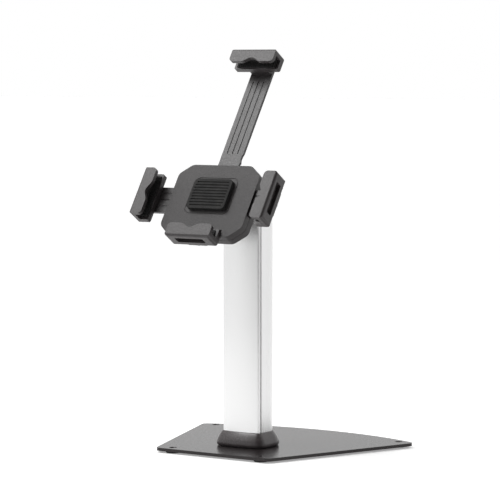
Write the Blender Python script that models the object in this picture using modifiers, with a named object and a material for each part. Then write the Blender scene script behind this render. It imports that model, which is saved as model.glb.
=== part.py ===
"""A lockable desk stand for a tablet: a steel base, an aluminium column, a tilting and turning head, and a
four-jaw holder whose side arms are geared together and whose top arm slides and locks.

Metres, +Z up, the front faces -Y. The origin is on the floor under the middle of the stand's box.
"""

from math import acos, asin, atan2, cos, pi, radians, sin, sqrt, tan

import bmesh
import bpy
from mathutils import Matrix, Vector

MM = 0.001
GAP = 0.3 * MM

# Base plate and feet
FOOT_HEIGHT = 2.0 * MM
FOOT_RADIUS = 8.5 * MM
PLATE_BOTTOM = FOOT_HEIGHT + GAP
PLATE_THICKNESS = 3.8 * MM
PLATE_TOP = PLATE_BOTTOM + PLATE_THICKNESS
PLATE_FRONT = -76.2 * MM
PLATE_BACK = 163.6 * MM
PLATE_BACK_CORNER = 130.2 * MM
PLATE_FRONT_HALF_WIDTH = 80.6 * MM
PLATE_BACK_HALF_WIDTH = 156.2 * MM
PLATE_CORNER_RADIUS = 8.0 * MM
HOLE_RADIUS = 2.75 * MM
FRONT_HOLE = (63.3 * MM, -65.0 * MM)
BACK_HOLE = (135.2 * MM, 127.9 * MM)

# Column
COLUMN_Y = -19.0 * MM
COLUMN_HALF_WIDTH = 26.2 * MM
COLUMN_FRONT = -11.1 * MM
COLUMN_BACK = 29.0 * MM
COLUMN_CORNER = 3.2 * MM
COLUMN_REAR_RADIUS = 20.0 * MM
COLUMN_TOP = 289.4 * MM
COLUMN_WALL = 2.0 * MM
SEAM_WIDTH = 0.8 * MM
FRONT_BULGE = 2.6 * MM
PORT_X = 13.0 * MM
PORT_Y = 6.2 * MM
PORT_RADIUS = 2.0 * MM
PORTS = [(sx * PORT_X, sy * PORT_Y) for sx in (-1, 1) for sy in (-1, 1)]
COLLAR_HEIGHT = 18.0 * MM
CAP_THICKNESS = 4.0 * MM

# Holder frame: its origin is where the four arms cross, on the front face of the tablet it is made for
TILT = radians(33.3)
CROSS_Y = -89.1 * MM
CROSS_Z = 311.5 * MM
TABLET_HALF_WIDTH = 84.75 * MM
TABLET_BOTTOM = -50.0 * MM
TABLET_TOP = 190.0 * MM

# Depths behind the tablet's front face
PAD_FRONT = 7.8 * MM
JAW_FLOOR = 9.3 * MM
JAW_BACK = 15.8 * MM
SHELL_FRONT = 13.3 * MM
SHELL_SPLIT = 22.0 * MM
SHELL_BACK = 30.5 * MM
SHELL_WALL = 2.3 * MM
SIDE_ARM = (16.1 * MM, 19.6 * MM)
RACK = (19.6 * MM, 23.0 * MM)
TOP_ARM = (23.6 * MM, 27.0 * MM)
TURN_DISC = (30.8 * MM, 33.8 * MM)
FRICTION_RING = (34.1 * MM, 35.1 * MM)
TILT_PLATE = (35.4 * MM, 38.4 * MM)
BOTTOM_ARM = (16.1 * MM, 21.7 * MM)

# Shell
SHELL_HALF_HEIGHT = 48.0 * MM
SHELL_HALF_WIDTH = 58.0 * MM
SHELL_CORNER = (16.0 * MM, 13.0 * MM)

# Jaws
JAW_LENGTH = 62.5 * MM
JAW_FLOOR_REACH = 10.0 * MM
JAW_SCREW = 3.2 * MM
JAW_WALL = 2.0 * MM
JAW_OVERLAP = 8.4 * MM
JAW_OUTSIDE = 9.4 * MM
JAW_FRONT = 6.0 * MM
LIP_BACK = 1.0 * MM
NOTCH_DEPTH = 5.2 * MM
NOTCH_HALF_WIDTH = 14.0 * MM
TABLET_CLEARANCE = 0.4 * MM

# Arms
ARM_HALF_WIDTH = 17.0 * MM
TOP_ARM_HALF_WIDTH = 15.0 * MM
GEAR_MODULE = 1.0 * MM
GEAR_TEETH = 16
PRESSURE_ANGLE = radians(20.0)
GEAR_RADIUS = GEAR_MODULE * GEAR_TEETH / 2
BACKLASH = 0.3 * MM
AXLE_RADIUS = 2.5 * MM

# Tilt hinge, measured from the crossing of the arms
PIN_UP = 40.0 * MM
PIN_BACK = 53.0 * MM
PIN_RADIUS = 4.0 * MM
EAR_RADIUS = 8.5 * MM
INNER_EAR = (13.5 * MM, 16.5 * MM)
OUTER_EAR = (18.5 * MM, 21.5 * MM)

# Key lock
LOCK_X = 31.0 * MM
LOCK_Y = 26.0 * MM
LOCK_REACH = 16.8 * MM
CAM_HALF_ANGLE = radians(14.0)
LOCK_STEP = 13.0 * MM
LOCK_STOPS = (-1, 0, 1, 2, 3)

MATERIALS = {
    "powder_coat": ((0.17, 0.165, 0.165), 0.45, 0.3),
    "anodised": ((0.83, 0.83, 0.84), 0.32, 0.9),
    "black_plastic": ((0.055, 0.05, 0.048), 0.55, 0.0),
    "rubber": ((0.025, 0.025, 0.025), 0.85, 0.0),
    "black_steel": ((0.05, 0.05, 0.052), 0.4, 0.6),
    "zinc": ((0.6, 0.6, 0.6), 0.35, 1.0),
    "nickel": ((0.7, 0.69, 0.67), 0.25, 1.0),
    "gear_plastic": ((0.75, 0.74, 0.7), 0.5, 0.0),
}


def clear_scene():
    for obj in list(bpy.data.objects):
        bpy.data.objects.remove(obj, do_unlink=True)


def new_collection(name, hidden=False):
    collection = bpy.data.collections.new(name)
    bpy.context.scene.collection.children.link(collection)
    collection.hide_render = hidden
    return collection


clear_scene()
PARTS = new_collection("tablet_stand")
CUTTERS = new_collection("cutters", hidden=True)


def make_material(name):
    material = bpy.data.materials.get(name)
    if material:
        return material
    colour, roughness, metallic = MATERIALS[name]
    material = bpy.data.materials.new(name)
    material.use_nodes = True
    shader = material.node_tree.nodes["Principled BSDF"]
    shader.inputs["Base Color"].default_value = (*colour, 1.0)
    shader.inputs["Roughness"].default_value = roughness
    shader.inputs["Metallic"].default_value = metallic
    material.diffuse_color = (*colour, 1.0)
    return material


def make_frame(name, location, parent=None, tilt=0.0):
    """An empty that parts hang on. Tilted, its Y runs up along the holder and its Z points at the reader."""
    frame = bpy.data.objects.new(name, None)
    PARTS.objects.link(frame)
    frame.parent = parent
    frame.location = location
    frame.rotation_euler = (tilt, 0.0, 0.0)
    return frame


def mesh_object(name, mesh, material, parent=None, location=(0, 0, 0), turn=0.0):
    """A part, or with material None a cutter."""
    obj = bpy.data.objects.new(name, mesh)
    if material is None:
        CUTTERS.objects.link(obj)
        obj.hide_render = True
        obj.display_type = "WIRE"
    else:
        PARTS.objects.link(obj)
        if not mesh.materials:
            mesh.materials.append(make_material(material))
        mesh.shade_smooth()
        mesh.set_sharp_from_angle(angle=radians(32))
    obj.parent = parent
    obj.location = location
    obj.rotation_euler = (0.0, 0.0, turn)
    return obj


# Outlines, as lists of (x, y)


def arc(centre, radius, start, end, steps):
    angles = [start + (end - start) * i / steps for i in range(steps + 1)]
    return [(centre[0] + radius * cos(a), centre[1] + radius * sin(a)) for a in angles]


def circle(radius, centre=(0.0, 0.0), steps=32):
    return arc(centre, radius, 0.0, 2 * pi, steps)[:-1]


def rounded(corners, steps=5):
    """An outline whose corners, given as (x, y, radius), are arcs."""
    outline = []
    for i, (x, y, radius) in enumerate(corners):
        here = Vector((x, y))
        before = (Vector(corners[i - 1][:2]) - here).normalized()
        after = (Vector(corners[(i + 1) % len(corners)][:2]) - here).normalized()
        if radius <= 0.0:
            outline.append((x, y))
            continue
        half = acos(max(-1.0, min(1.0, before.dot(after)))) / 2
        centre = here + (before + after).normalized() * (radius / sin(half))
        first = here + before * (radius / tan(half)) - centre
        last = here + after * (radius / tan(half)) - centre
        start = atan2(first.y, first.x)
        sweep = atan2(last.y, last.x) - start
        sweep = (sweep + pi) % (2 * pi) - pi
        outline += arc(centre, radius, start, start + sweep, steps)
    return outline


def rectangle(half_width, half_height, radius, centre=(0.0, 0.0), steps=5):
    x, y = centre
    corners = [
        (x - half_width, y - half_height, radius),
        (x + half_width, y - half_height, radius),
        (x + half_width, y + half_height, radius),
        (x - half_width, y + half_height, radius),
    ]
    return rounded(corners, steps)


# Shapes


AXIS_TURNS = {
    "Z": Matrix.Identity(4),
    "X": Matrix(((0, 0, 1, 0), (1, 0, 0, 0), (0, 1, 0, 0), (0, 0, 0, 1))),
}


def extruded(outline, low, high, holes=(), axis="Z"):
    """A mesh of a flat outline with holes, from low to high along an axis. On X the outline is (y, z)."""
    curve = bpy.data.curves.new("outline", "CURVE")
    curve.dimensions = "2D"
    curve.fill_mode = "BOTH"
    curve.extrude = (high - low) / 2
    for loop in (outline, *holes):
        spline = curve.splines.new("POLY")
        spline.points.add(len(loop) - 1)
        for point, (x, y) in zip(spline.points, loop):
            point.co = (x, y, 0.0, 1.0)
        spline.use_cyclic_u = True
    source = bpy.data.objects.new("outline", curve)
    CUTTERS.objects.link(source)
    graph = bpy.context.evaluated_depsgraph_get()
    mesh = bpy.data.meshes.new_from_object(source.evaluated_get(graph))
    bpy.data.objects.remove(source, do_unlink=True)
    bpy.data.curves.remove(curve)
    mesh.transform(AXIS_TURNS[axis] @ Matrix.Translation((0.0, 0.0, (low + high) / 2)))
    work = bmesh.new()
    work.from_mesh(mesh)
    bmesh.ops.remove_doubles(work, verts=work.verts, dist=0.002 * MM)
    bmesh.ops.recalc_face_normals(work, faces=work.faces)
    work.to_mesh(mesh)
    work.free()
    return mesh


def box(low, high):
    work = bmesh.new()
    bmesh.ops.create_cube(work, size=1.0)
    size = [h - l for l, h in zip(low, high)]
    middle = [(h + l) / 2 for l, h in zip(low, high)]
    bmesh.ops.scale(work, vec=size, verts=work.verts)
    bmesh.ops.translate(work, vec=middle, verts=work.verts)
    mesh = bpy.data.meshes.new("box")
    work.to_mesh(mesh)
    work.free()
    return mesh


def add_turning(obj, steps):
    """Turns the profile in an object's mesh, which runs down its outer side, about Z."""
    screw = obj.modifiers.new("turn", "SCREW")
    screw.steps = steps
    screw.render_steps = steps
    screw.use_merge_vertices = True
    screw.merge_threshold = 0.01 * MM
    screw.use_smooth_shade = False


def profile_mesh(points, closed=False):
    mesh = bpy.data.meshes.new("profile")
    edges = [(i, i + 1) for i in range(len(points) - 1)]
    if closed:
        edges.append((len(points) - 1, 0))
    mesh.from_pydata([(r, 0.0, z) for r, z in points], edges, [])
    return mesh


def baked(obj, matrix):
    """The evaluated mesh of a helper object, moved by a matrix; the helper and its cutters are removed."""
    graph = bpy.context.evaluated_depsgraph_get()
    mesh = bpy.data.meshes.new_from_object(obj.evaluated_get(graph))
    mesh.transform(matrix)
    for used in (*obj.children, obj):
        bpy.data.objects.remove(used, do_unlink=True)
    return mesh


def turned(points, steps=32, closed=False, axis="Z"):
    helper = bpy.data.objects.new("turning", profile_mesh(points, closed))
    CUTTERS.objects.link(helper)
    add_turning(helper, steps)
    return baked(helper, AXIS_TURNS[axis])


def add_bevel(obj, width):
    bevel = obj.modifiers.new("edges", "BEVEL")
    bevel.width = width
    bevel.segments = 1
    bevel.limit_method = "ANGLE"
    bevel.angle_limit = radians(60)
    bevel.use_clamp_overlap = True


def boolean(obj, mesh, operation, location=(0, 0, 0), turn=0.0):
    """Cuts a mesh from an object, or joins it on. The mesh is given in the object's own coordinates."""
    name = f"{obj.name}_{operation.lower()}_{len(obj.modifiers)}"
    tool = mesh_object(name, mesh, None, obj, location, turn)
    step = obj.modifiers.new(operation.lower(), "BOOLEAN")
    step.object = tool
    step.operation = operation
    step.solver = "EXACT"


def cut(obj, mesh, location=(0, 0, 0), turn=0.0):
    boolean(obj, mesh, "DIFFERENCE", location, turn)


def join(obj, mesh, location=(0, 0, 0), turn=0.0):
    boolean(obj, mesh, "UNION", location, turn)


def behind(layer):
    """The low and high Z, in the holder frame, of a layer given as depths behind the tablet's front."""
    return -layer[1], -layer[0]


def pan_screw(length, radius, head_radius, head_height, steps=12):
    """A pan-head screw along Z whose head sits on z = 0 and points up, with a socket."""
    edge = head_height * 0.35
    socket = radius * 0.8
    profile = [
        (0.0, head_height * 0.4),
        (socket, head_height * 0.4),
        (socket, head_height),
        (head_radius - edge, head_height),
        (head_radius, head_height - edge),
        (head_radius, 0.0),
        (radius, 0.0),
        (radius, -length),
        (0.0, -length),
    ]
    return turned(profile, steps)


def ring(inner, outer, low, high, steps=24, chamfer=0.0, axis="Z"):
    profile = [
        (inner, high),
        (outer - chamfer, high),
        (outer, high - chamfer),
        (outer, low),
        (inner, low),
    ]
    if chamfer <= 0.0:
        profile.pop(1)
    return turned(profile, steps, closed=True, axis=axis)


# Frames

stand = make_frame("stand", (0.0, COLUMN_Y, 0.0))
UP = Vector((0.0, sin(TILT), cos(TILT)))
BACK = Vector((0.0, cos(TILT), -sin(TILT)))
cross = Vector((0.0, CROSS_Y, CROSS_Z))
pin = cross + UP * PIN_UP + BACK * PIN_BACK
tilt_axis = make_frame("tilt_axis", pin, stand, pi / 2 - TILT)
turn_axis = make_frame("turn_axis", (0.0, -PIN_UP, PIN_BACK), tilt_axis)


# Base


def base_plate():
    """A plate that widens to the rear and ends there in a shallow arc."""
    rise = PLATE_BACK - PLATE_BACK_CORNER
    radius = (PLATE_BACK_HALF_WIDTH**2 + rise**2) / (2 * rise)
    half_angle = asin(PLATE_BACK_HALF_WIDTH / radius)
    back = arc((0.0, PLATE_BACK - radius), radius, pi / 2 - half_angle, pi / 2 + half_angle, 16)
    corners = [
        (-PLATE_FRONT_HALF_WIDTH, PLATE_FRONT, PLATE_CORNER_RADIUS),
        (PLATE_FRONT_HALF_WIDTH, PLATE_FRONT, PLATE_CORNER_RADIUS),
        (*back[0], PLATE_CORNER_RADIUS),
        *((x, y, 0.0) for x, y in back[1:-1]),
        (*back[-1], PLATE_CORNER_RADIUS),
    ]
    holes = [circle(HOLE_RADIUS, (side * x, y), 20) for x, y in (FRONT_HOLE, BACK_HOLE) for side in (-1, 1)]
    holes += [circle(PORT_RADIUS + 0.4 * MM, port, 16) for port in PORTS]
    mesh = extruded(rounded(corners, 6), PLATE_BOTTOM, PLATE_TOP, holes)
    mesh_object("base_plate", mesh, "powder_coat", stand)


def feet():
    mesh = ring(HOLE_RADIUS + 0.6 * MM, FOOT_RADIUS, 0.0, FOOT_HEIGHT, 20, 0.6 * MM)
    mesh.transform(Matrix.Rotation(pi, 4, "X") @ Matrix.Translation((0.0, 0.0, -FOOT_HEIGHT)))
    places = {
        "front_left": (-FRONT_HOLE[0], FRONT_HOLE[1]),
        "front_right": FRONT_HOLE,
        "rear_left": (-BACK_HOLE[0], BACK_HOLE[1]),
        "rear_right": BACK_HOLE,
    }
    for name, (x, y) in places.items():
        mesh_object(f"foot_{name}", mesh, "rubber", stand, (x, y, 0.0))


def base_screws():
    mesh = pan_screw(18.0 * MM, PORT_RADIUS - 0.15 * MM, 3.6 * MM, 1.4 * MM)
    mesh.transform(Matrix.Rotation(pi, 4, "X"))
    for number, (x, y) in enumerate(PORTS, 1):
        mesh_object(f"base_screw_{number}", mesh, "zinc", stand, (x, y, PLATE_BOTTOM - GAP))


def column_outline(grow=0.0, steps=5):
    """The whole column's section, from above: a bowed front, small front corners and a wide round rear."""
    chord = COLUMN_HALF_WIDTH - COLUMN_CORNER
    reach = (chord * chord + FRONT_BULGE * FRONT_BULGE) / (2 * FRONT_BULGE)
    sweep = atan2(chord, reach - FRONT_BULGE)
    middle = (0.0, COLUMN_FRONT + reach - FRONT_BULGE)
    radius = COLUMN_CORNER + grow
    bend = (COLUMN_HALF_WIDTH - COLUMN_REAR_RADIUS, COLUMN_BACK - COLUMN_REAR_RADIUS)
    rear = COLUMN_REAR_RADIUS + grow
    outline = arc(middle, reach + radius, -pi / 2 - sweep, -pi / 2 + sweep, 12)[1:-1]
    outline += arc((chord, COLUMN_FRONT), radius, -pi / 2 + sweep, 0.0, steps)
    outline += arc(bend, rear, 0.0, pi / 2, 2 * steps)
    outline += arc((-bend[0], bend[1]), rear, pi / 2, pi, 2 * steps)
    outline += arc((-chord, COLUMN_FRONT), radius, pi, 3 * pi / 2 - sweep, steps)
    return outline


def column_profile():
    """The structural extrusion: a box with a screw port by each corner of its cavity."""
    half = COLUMN_HALF_WIDTH
    shoulder = half - 1.6 * MM
    front = COLUMN_FRONT + SEAM_WIDTH
    corners = [
        (-shoulder, front, 0.0),
        (shoulder, front, 0.0),
        (shoulder, front + 1.6 * MM, 0.0),
        (half, front + 1.6 * MM, 0.0),
        (half, COLUMN_BACK, COLUMN_REAR_RADIUS),
        (-half, COLUMN_BACK, COLUMN_REAR_RADIUS),
        (-half, front + 1.6 * MM, 0.0),
        (-shoulder, front + 1.6 * MM, 0.0),
    ]
    inner_x = shoulder - COLUMN_WALL
    wall = front + COLUMN_WALL
    near, far = PORT_X - 4.0 * MM, PORT_X + 4.0 * MM
    low, high = PORT_Y - 4.0 * MM, PORT_Y + 4.0 * MM
    bend = (half - COLUMN_REAR_RADIUS, COLUMN_BACK - COLUMN_REAR_RADIUS)
    reach = COLUMN_REAR_RADIUS - COLUMN_WALL
    right = [(near, wall), (near, -low), (far, -low), (far, wall), (inner_x, wall), (inner_x, low)]
    right += [(near, low), (near, high)]
    right += arc(bend, reach, asin((high - bend[1]) / reach), pi / 2, 9)
    cavity = right + [(-x, y) for x, y in right[::-1]]
    holes = [cavity] + [circle(PORT_RADIUS, port, 16) for port in PORTS]
    mesh = extruded(rounded(corners, 10), PLATE_TOP + GAP, COLUMN_TOP, holes)
    mesh_object("column_profile", mesh, "anodised", stand)


def column_front_cover():
    """The bowed front of the column, held between the collar and the cap."""
    chord = COLUMN_HALF_WIDTH - COLUMN_CORNER
    inside = COLUMN_HALF_WIDTH - COLUMN_WALL
    outer = sorted(point for point in column_outline() if point[1] <= COLUMN_FRONT + 0.001 * MM)
    inner = [
        (x * inside / COLUMN_HALF_WIDTH, y + COLUMN_WALL * (1.0 if abs(x) < chord else 0.6))
        for x, y in outer
        if y < COLUMN_FRONT - COLUMN_WALL
    ]
    outline = outer + [(inside, COLUMN_FRONT)] + inner[::-1] + [(-inside, COLUMN_FRONT)]
    mesh = extruded(outline, PLATE_TOP + GAP, COLUMN_TOP)
    mesh_object("column_front_cover", mesh, "anodised", stand)


def loop_loft(rings):
    """A closed body between rings of equal length, the last joined to the first."""
    work = bmesh.new()
    verts = [[work.verts.new(point) for point in ring_points] for ring_points in rings]
    count = len(rings[0])
    for i in range(len(rings)):
        this, other = verts[i], verts[(i + 1) % len(rings)]
        for k in range(count):
            work.faces.new((this[k], this[(k + 1) % count], other[(k + 1) % count], other[k]))
    bmesh.ops.recalc_face_normals(work, faces=work.faces)
    mesh = bpy.data.meshes.new("loft")
    work.to_mesh(mesh)
    work.free()
    return mesh


def collar():
    """The flared foot cover round the column."""
    low = PLATE_TOP + GAP
    high = PLATE_TOP + COLLAR_HEIGHT

    def level(grow, z):
        return [(x, y, z) for x, y in column_outline(grow)]

    rings = [
        level(5.6 * MM, low),
        level(7.4 * MM, low + 2.2 * MM),
        level(8.2 * MM, low + 4.6 * MM),
        level(8.0 * MM, low + 6.4 * MM),
        level(6.8 * MM, low + 9.2 * MM),
        level(5.0 * MM, low + 12.8 * MM),
        level(2.9 * MM, high - 2.2 * MM),
        level(1.6 * MM, high - 0.5 * MM),
        level(1.2 * MM, high),
        level(GAP, high),
        level(GAP, low),
    ]
    mesh_object("column_collar", loop_loft(rings), "black_plastic", stand)


def column_cap():
    holes = [circle(PORT_RADIUS + 0.4 * MM, port, 16) for port in PORTS]
    low = COLUMN_TOP + GAP
    mesh = extruded(column_outline(0.4 * MM), low, low + CAP_THICKNESS, holes)
    mesh_object("column_cap", mesh, "black_plastic", stand)


# Head

HEAD_FLOOR = COLUMN_TOP + GAP + CAP_THICKNESS + GAP
HEAD_PLATE = 3.0 * MM


def ear_outline(pin_y, pin_z, foot, floor, back):
    """From the side, (y, z): a foot on the floor that narrows to a round end about the pin."""
    outline = []
    for point, side in (((foot, floor), 1), ((back, floor), -1)):
        away = Vector(point) - Vector((pin_y, pin_z))
        lean = acos(EAR_RADIUS / away.length)
        angle = atan2(away.y, away.x) - side * lean
        outline.append(angle % (2 * pi))
    start, end = outline[1], outline[0]
    if end < start:
        end += 2 * pi
    return [(foot, floor), (back, floor)] + arc((pin_y, pin_z), EAR_RADIUS, start, end, 14)


def head_bracket():
    """A bent steel fork on the column, with an ear each side of the tilt pin."""
    half = OUTER_EAR[1]
    depth = 10.5 * MM
    holes = [circle(PORT_RADIUS + 0.3 * MM, port, 16) for port in PORTS]
    plate = extruded(rectangle(half, depth, 0.5 * MM, steps=1), HEAD_FLOOR, HEAD_FLOOR + HEAD_PLATE, holes)
    bracket = mesh_object("head_bracket", plate, "black_steel", stand)
    outline = ear_outline(pin.y, pin.z, -depth, HEAD_FLOOR, depth)
    bore = circle(PIN_RADIUS + 0.1 * MM, (pin.y, pin.z), 20)
    for side in (-1, 1):
        low, high = sorted((side * OUTER_EAR[0], side * OUTER_EAR[1]))
        join(bracket, extruded(outline, low, high, [bore], axis="X"))


def head_screws():
    mesh = pan_screw(16.0 * MM, PORT_RADIUS - 0.15 * MM, 3.4 * MM, 2.2 * MM)
    for number, (x, y) in enumerate(PORTS, 1):
        mesh_object(f"head_screw_{number}", mesh, "zinc", stand, (x, y, HEAD_FLOOR + HEAD_PLATE + GAP))


def tilt_pin():
    """The hinge bolt through both pairs of ears, its lock nut and its washers."""
    reach = OUTER_EAR[1]
    radius = PIN_RADIUS
    profile = [
        (0.0, reach + 2.4 * MM),
        (2.4 * MM, reach + 2.4 * MM),
        (2.4 * MM, reach + GAP + 4.0 * MM),
        (6.2 * MM, reach + GAP + 4.0 * MM),
        (7.0 * MM, reach + GAP + 3.2 * MM),
        (7.0 * MM, reach + GAP),
        (radius, reach + GAP),
        (radius, -reach - 6.6 * MM),
        (radius - 0.6 * MM, -reach - 7.2 * MM),
        (0.0, -reach - 7.2 * MM),
    ]
    mesh_object("tilt_bolt", turned(profile, 20, axis="X"), "zinc", stand, (0.0, pin.y, pin.z))
    nut = extruded(
        [(7.4 * MM * cos(k * pi / 3), 7.4 * MM * sin(k * pi / 3)) for k in range(6)],
        -reach - GAP - 5.6 * MM,
        -reach - GAP,
        [circle(radius + 0.1 * MM, steps=20)],
        axis="X",
    )
    mesh_object("tilt_nut", nut, "zinc", stand, (0.0, pin.y, pin.z))
    for name, side in (("left", -1), ("right", 1)):
        low, high = sorted((side * (INNER_EAR[1] + GAP), side * (OUTER_EAR[0] - GAP)))
        washer = ring(radius + 0.1 * MM, 8.0 * MM, low, high, axis="X")
        mesh_object(f"friction_washer_{name}", washer, "gear_plastic", stand, (0.0, pin.y, pin.z))


def tilt_bracket():
    """The steel plate behind the holder, with two ears on the tilt bolt. Built about the pin."""
    low, high = behind(TILT_PLATE)
    low += PIN_BACK
    high += PIN_BACK
    corners = [
        (-19.0 * MM, -PIN_UP - 24.0 * MM, 9.0 * MM),
        (19.0 * MM, -PIN_UP - 24.0 * MM, 9.0 * MM),
        (24.0 * MM, -PIN_UP + 6.0 * MM, 12.0 * MM),
        (INNER_EAR[1], -14.0 * MM, 6.0 * MM),
        (INNER_EAR[1], 9.0 * MM, 1.0 * MM),
        (-INNER_EAR[1], 9.0 * MM, 1.0 * MM),
        (-INNER_EAR[1], -14.0 * MM, 6.0 * MM),
        (-24.0 * MM, -PIN_UP + 6.0 * MM, 12.0 * MM),
    ]
    plate = extruded(rounded(corners, 4), low, high, [circle(4.1 * MM, (0.0, -PIN_UP), 24)])
    bracket = mesh_object("tilt_bracket", plate, "black_steel", tilt_axis)
    ear = [(-12.0 * MM, high)] + arc((0.0, 0.0), EAR_RADIUS, -0.85 * pi, 0.0, 12) + [(EAR_RADIUS, high)]
    bore = circle(PIN_RADIUS + 0.1 * MM, steps=20)
    for side in (-1, 1):
        ends = sorted((side * INNER_EAR[0], side * INNER_EAR[1]))
        join(bracket, extruded(ear, *ends, [bore], axis="X"))


def turn_bolt():
    """The pivot on which the holder turns, with its nut and spring washer behind the tilt bracket."""
    head = -TURN_DISC[0] - 0.2 * MM
    end = -TILT_PLATE[1] - 9.0 * MM
    profile = [
        (0.0, head),
        (6.5 * MM, head),
        (6.5 * MM, head - 1.5 * MM),
        (4.0 * MM, head - 1.5 * MM),
        (4.0 * MM, end + 0.5 * MM),
        (3.5 * MM, end),
        (0.0, end),
    ]
    place = (0.0, -PIN_UP, PIN_BACK)
    mesh_object("turn_bolt", turned(profile, 24), "zinc", tilt_axis, place)
    washer = ring(4.1 * MM, 8.5 * MM, -TILT_PLATE[1] - 1.8 * MM, -TILT_PLATE[1] - GAP)
    mesh_object("spring_washer", washer, "zinc", tilt_axis, place)
    nut = extruded(
        [(7.2 * MM * cos(k * pi / 3), 7.2 * MM * sin(k * pi / 3)) for k in range(6)],
        -TILT_PLATE[1] - 7.4 * MM,
        -TILT_PLATE[1] - 2.1 * MM,
        [circle(4.1 * MM, steps=24)],
    )
    mesh_object("turn_nut", nut, "zinc", tilt_axis, place)


# Holder


def shell_outline(inset=0.0):
    half_w = SHELL_HALF_WIDTH - inset
    half_h = SHELL_HALF_HEIGHT - inset
    cut_x = SHELL_CORNER[0] - 0.5 * inset
    cut_y = SHELL_CORNER[1] - 0.5 * inset
    corners = []
    for sx, sy in ((1, -1), (1, 1), (-1, 1), (-1, -1)):
        pair = [
            (sx * (half_w - cut_x), sy * half_h, 12.0 * MM),
            (sx * half_w, sy * (half_h - cut_y), 9.0 * MM),
        ]
        corners += pair if sx * sy < 0 else pair[::-1]
    return rounded(corners, 4)


BOSSES = [(sx * 45.0 * MM, sy * 23.5 * MM) for sx in (-1, 1) for sy in (-1, 1)]
BOSS_RADIUS = 4.0 * MM
DISC_SCREWS = [(17.0 * MM * cos(a), 17.0 * MM * sin(a)) for a in (pi / 2, 7 * pi / 6, 11 * pi / 6)]
SIDE_SLOT = ARM_HALF_WIDTH + 0.4 * MM
TOP_SLOT = TOP_ARM_HALF_WIDTH + 0.4 * MM


def front_shell():
    low, high = -SHELL_SPLIT, -SHELL_FRONT
    shell = mesh_object("front_shell", extruded(shell_outline(), low, high), "black_plastic", turn_axis)
    add_bevel(shell, 1.2 * MM)
    cut(shell, extruded(shell_outline(SHELL_WALL), low - MM, high - SHELL_WALL))
    reach = SHELL_HALF_WIDTH + 5.0 * MM
    cut(shell, box((-reach, -SIDE_SLOT, low - MM), (reach, SIDE_SLOT, -SIDE_ARM[0] + GAP)))
    pocket = JAW_LENGTH / 2 + GAP + 0.2 * MM
    floor_end = TABLET_BOTTOM + 10.0 * MM + GAP + 0.5 * MM
    cut(shell, box((-pocket, -reach, -JAW_BACK - GAP), (pocket, floor_end, high + MM)))
    slot_end = -SHELL_HALF_HEIGHT + 12.0 * MM
    cut(shell, box((-TOP_SLOT, -reach, low - MM), (TOP_SLOT, slot_end, -BOTTOM_ARM[0] + GAP)))
    inside = high - SHELL_WALL / 2
    for x, y in BOSSES:
        join(shell, extruded(circle(BOSS_RADIUS, (x, y), 16), low, inside, [circle(1.3 * MM, (x, y), 12)]))
    join(shell, extruded(circle(4.6 * MM, steps=20), -RACK[0], inside))
    join(shell, extruded(circle(AXLE_RADIUS, steps=24), -RACK[1], -RACK[0] + MM))


def rear_shell():
    low, high = -SHELL_BACK, -SHELL_SPLIT - GAP
    shell = mesh_object("rear_shell", extruded(shell_outline(), low, high), "black_plastic", turn_axis)
    add_bevel(shell, 1.6 * MM)
    cut(shell, extruded(shell_outline(SHELL_WALL), low + SHELL_WALL, high + MM))
    reach = SHELL_HALF_WIDTH + 5.0 * MM
    cut(shell, box((-reach, -SIDE_SLOT, -RACK[1] - GAP), (reach, SIDE_SLOT, high + MM)))
    cut(shell, box((-TOP_SLOT, 0.0, -TOP_ARM[1] - GAP), (TOP_SLOT, reach, high + MM)))
    for x, y in BOSSES:
        join(shell, extruded(circle(BOSS_RADIUS + 0.4 * MM, (x, y), 16), low + SHELL_WALL / 2, high))
        cut(shell, extruded(circle(1.8 * MM, (x, y), 12), low - MM, high + MM))
        cut(shell, extruded(circle(3.4 * MM, (x, y), 16), low - MM, low + 2.6 * MM))
    for x, y in DISC_SCREWS:
        cut(shell, extruded(circle(1.4 * MM, (x, y), 12), low - MM, low + SHELL_WALL + MM))
    cut(shell, extruded(circle(6.1 * MM, (LOCK_X, LOCK_Y), 24), low - MM, low + SHELL_WALL + MM))


def turn_disc():
    """The steel disc under the shell, with a counterbore for the pivot's head and one for each screw."""
    low, high = behind(TURN_DISC)
    holes = [circle(4.1 * MM, steps=24)] + [circle(1.8 * MM, place, 12) for place in DISC_SCREWS]
    plate = extruded(circle(24.0 * MM, steps=36), low, high, holes)
    disc = mesh_object("turn_disc", plate, "black_steel", turn_axis)
    cut(disc, extruded(circle(7.0 * MM, steps=24), high - 1.9 * MM, high + MM))
    for place in DISC_SCREWS:
        cut(disc, extruded(circle(3.2 * MM, place, 16), low - MM, low + 1.3 * MM))
    ring_low, ring_high = behind(FRICTION_RING)
    mesh_object("friction_ring", ring(5.0 * MM, 12.0 * MM, ring_low, ring_high), "gear_plastic", turn_axis)
    screw = pan_screw(4.0 * MM, 1.3 * MM, 2.7 * MM, 1.1 * MM)
    screw.transform(Matrix.Rotation(pi, 4, "X"))
    for number, (x, y) in enumerate(DISC_SCREWS, 1):
        mesh_object(f"disc_screw_{number}", screw, "zinc", turn_axis, (x, y, low + 1.3 * MM - GAP))


def shell_screws():
    screw = pan_screw(11.0 * MM, 1.15 * MM, 2.9 * MM, 1.8 * MM)
    screw.transform(Matrix.Rotation(pi, 4, "X"))
    for number, (x, y) in enumerate(BOSSES, 1):
        mesh_object(f"shell_screw_{number}", screw, "zinc", turn_axis, (x, y, -SHELL_BACK + 2.6 * MM - GAP))


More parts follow.
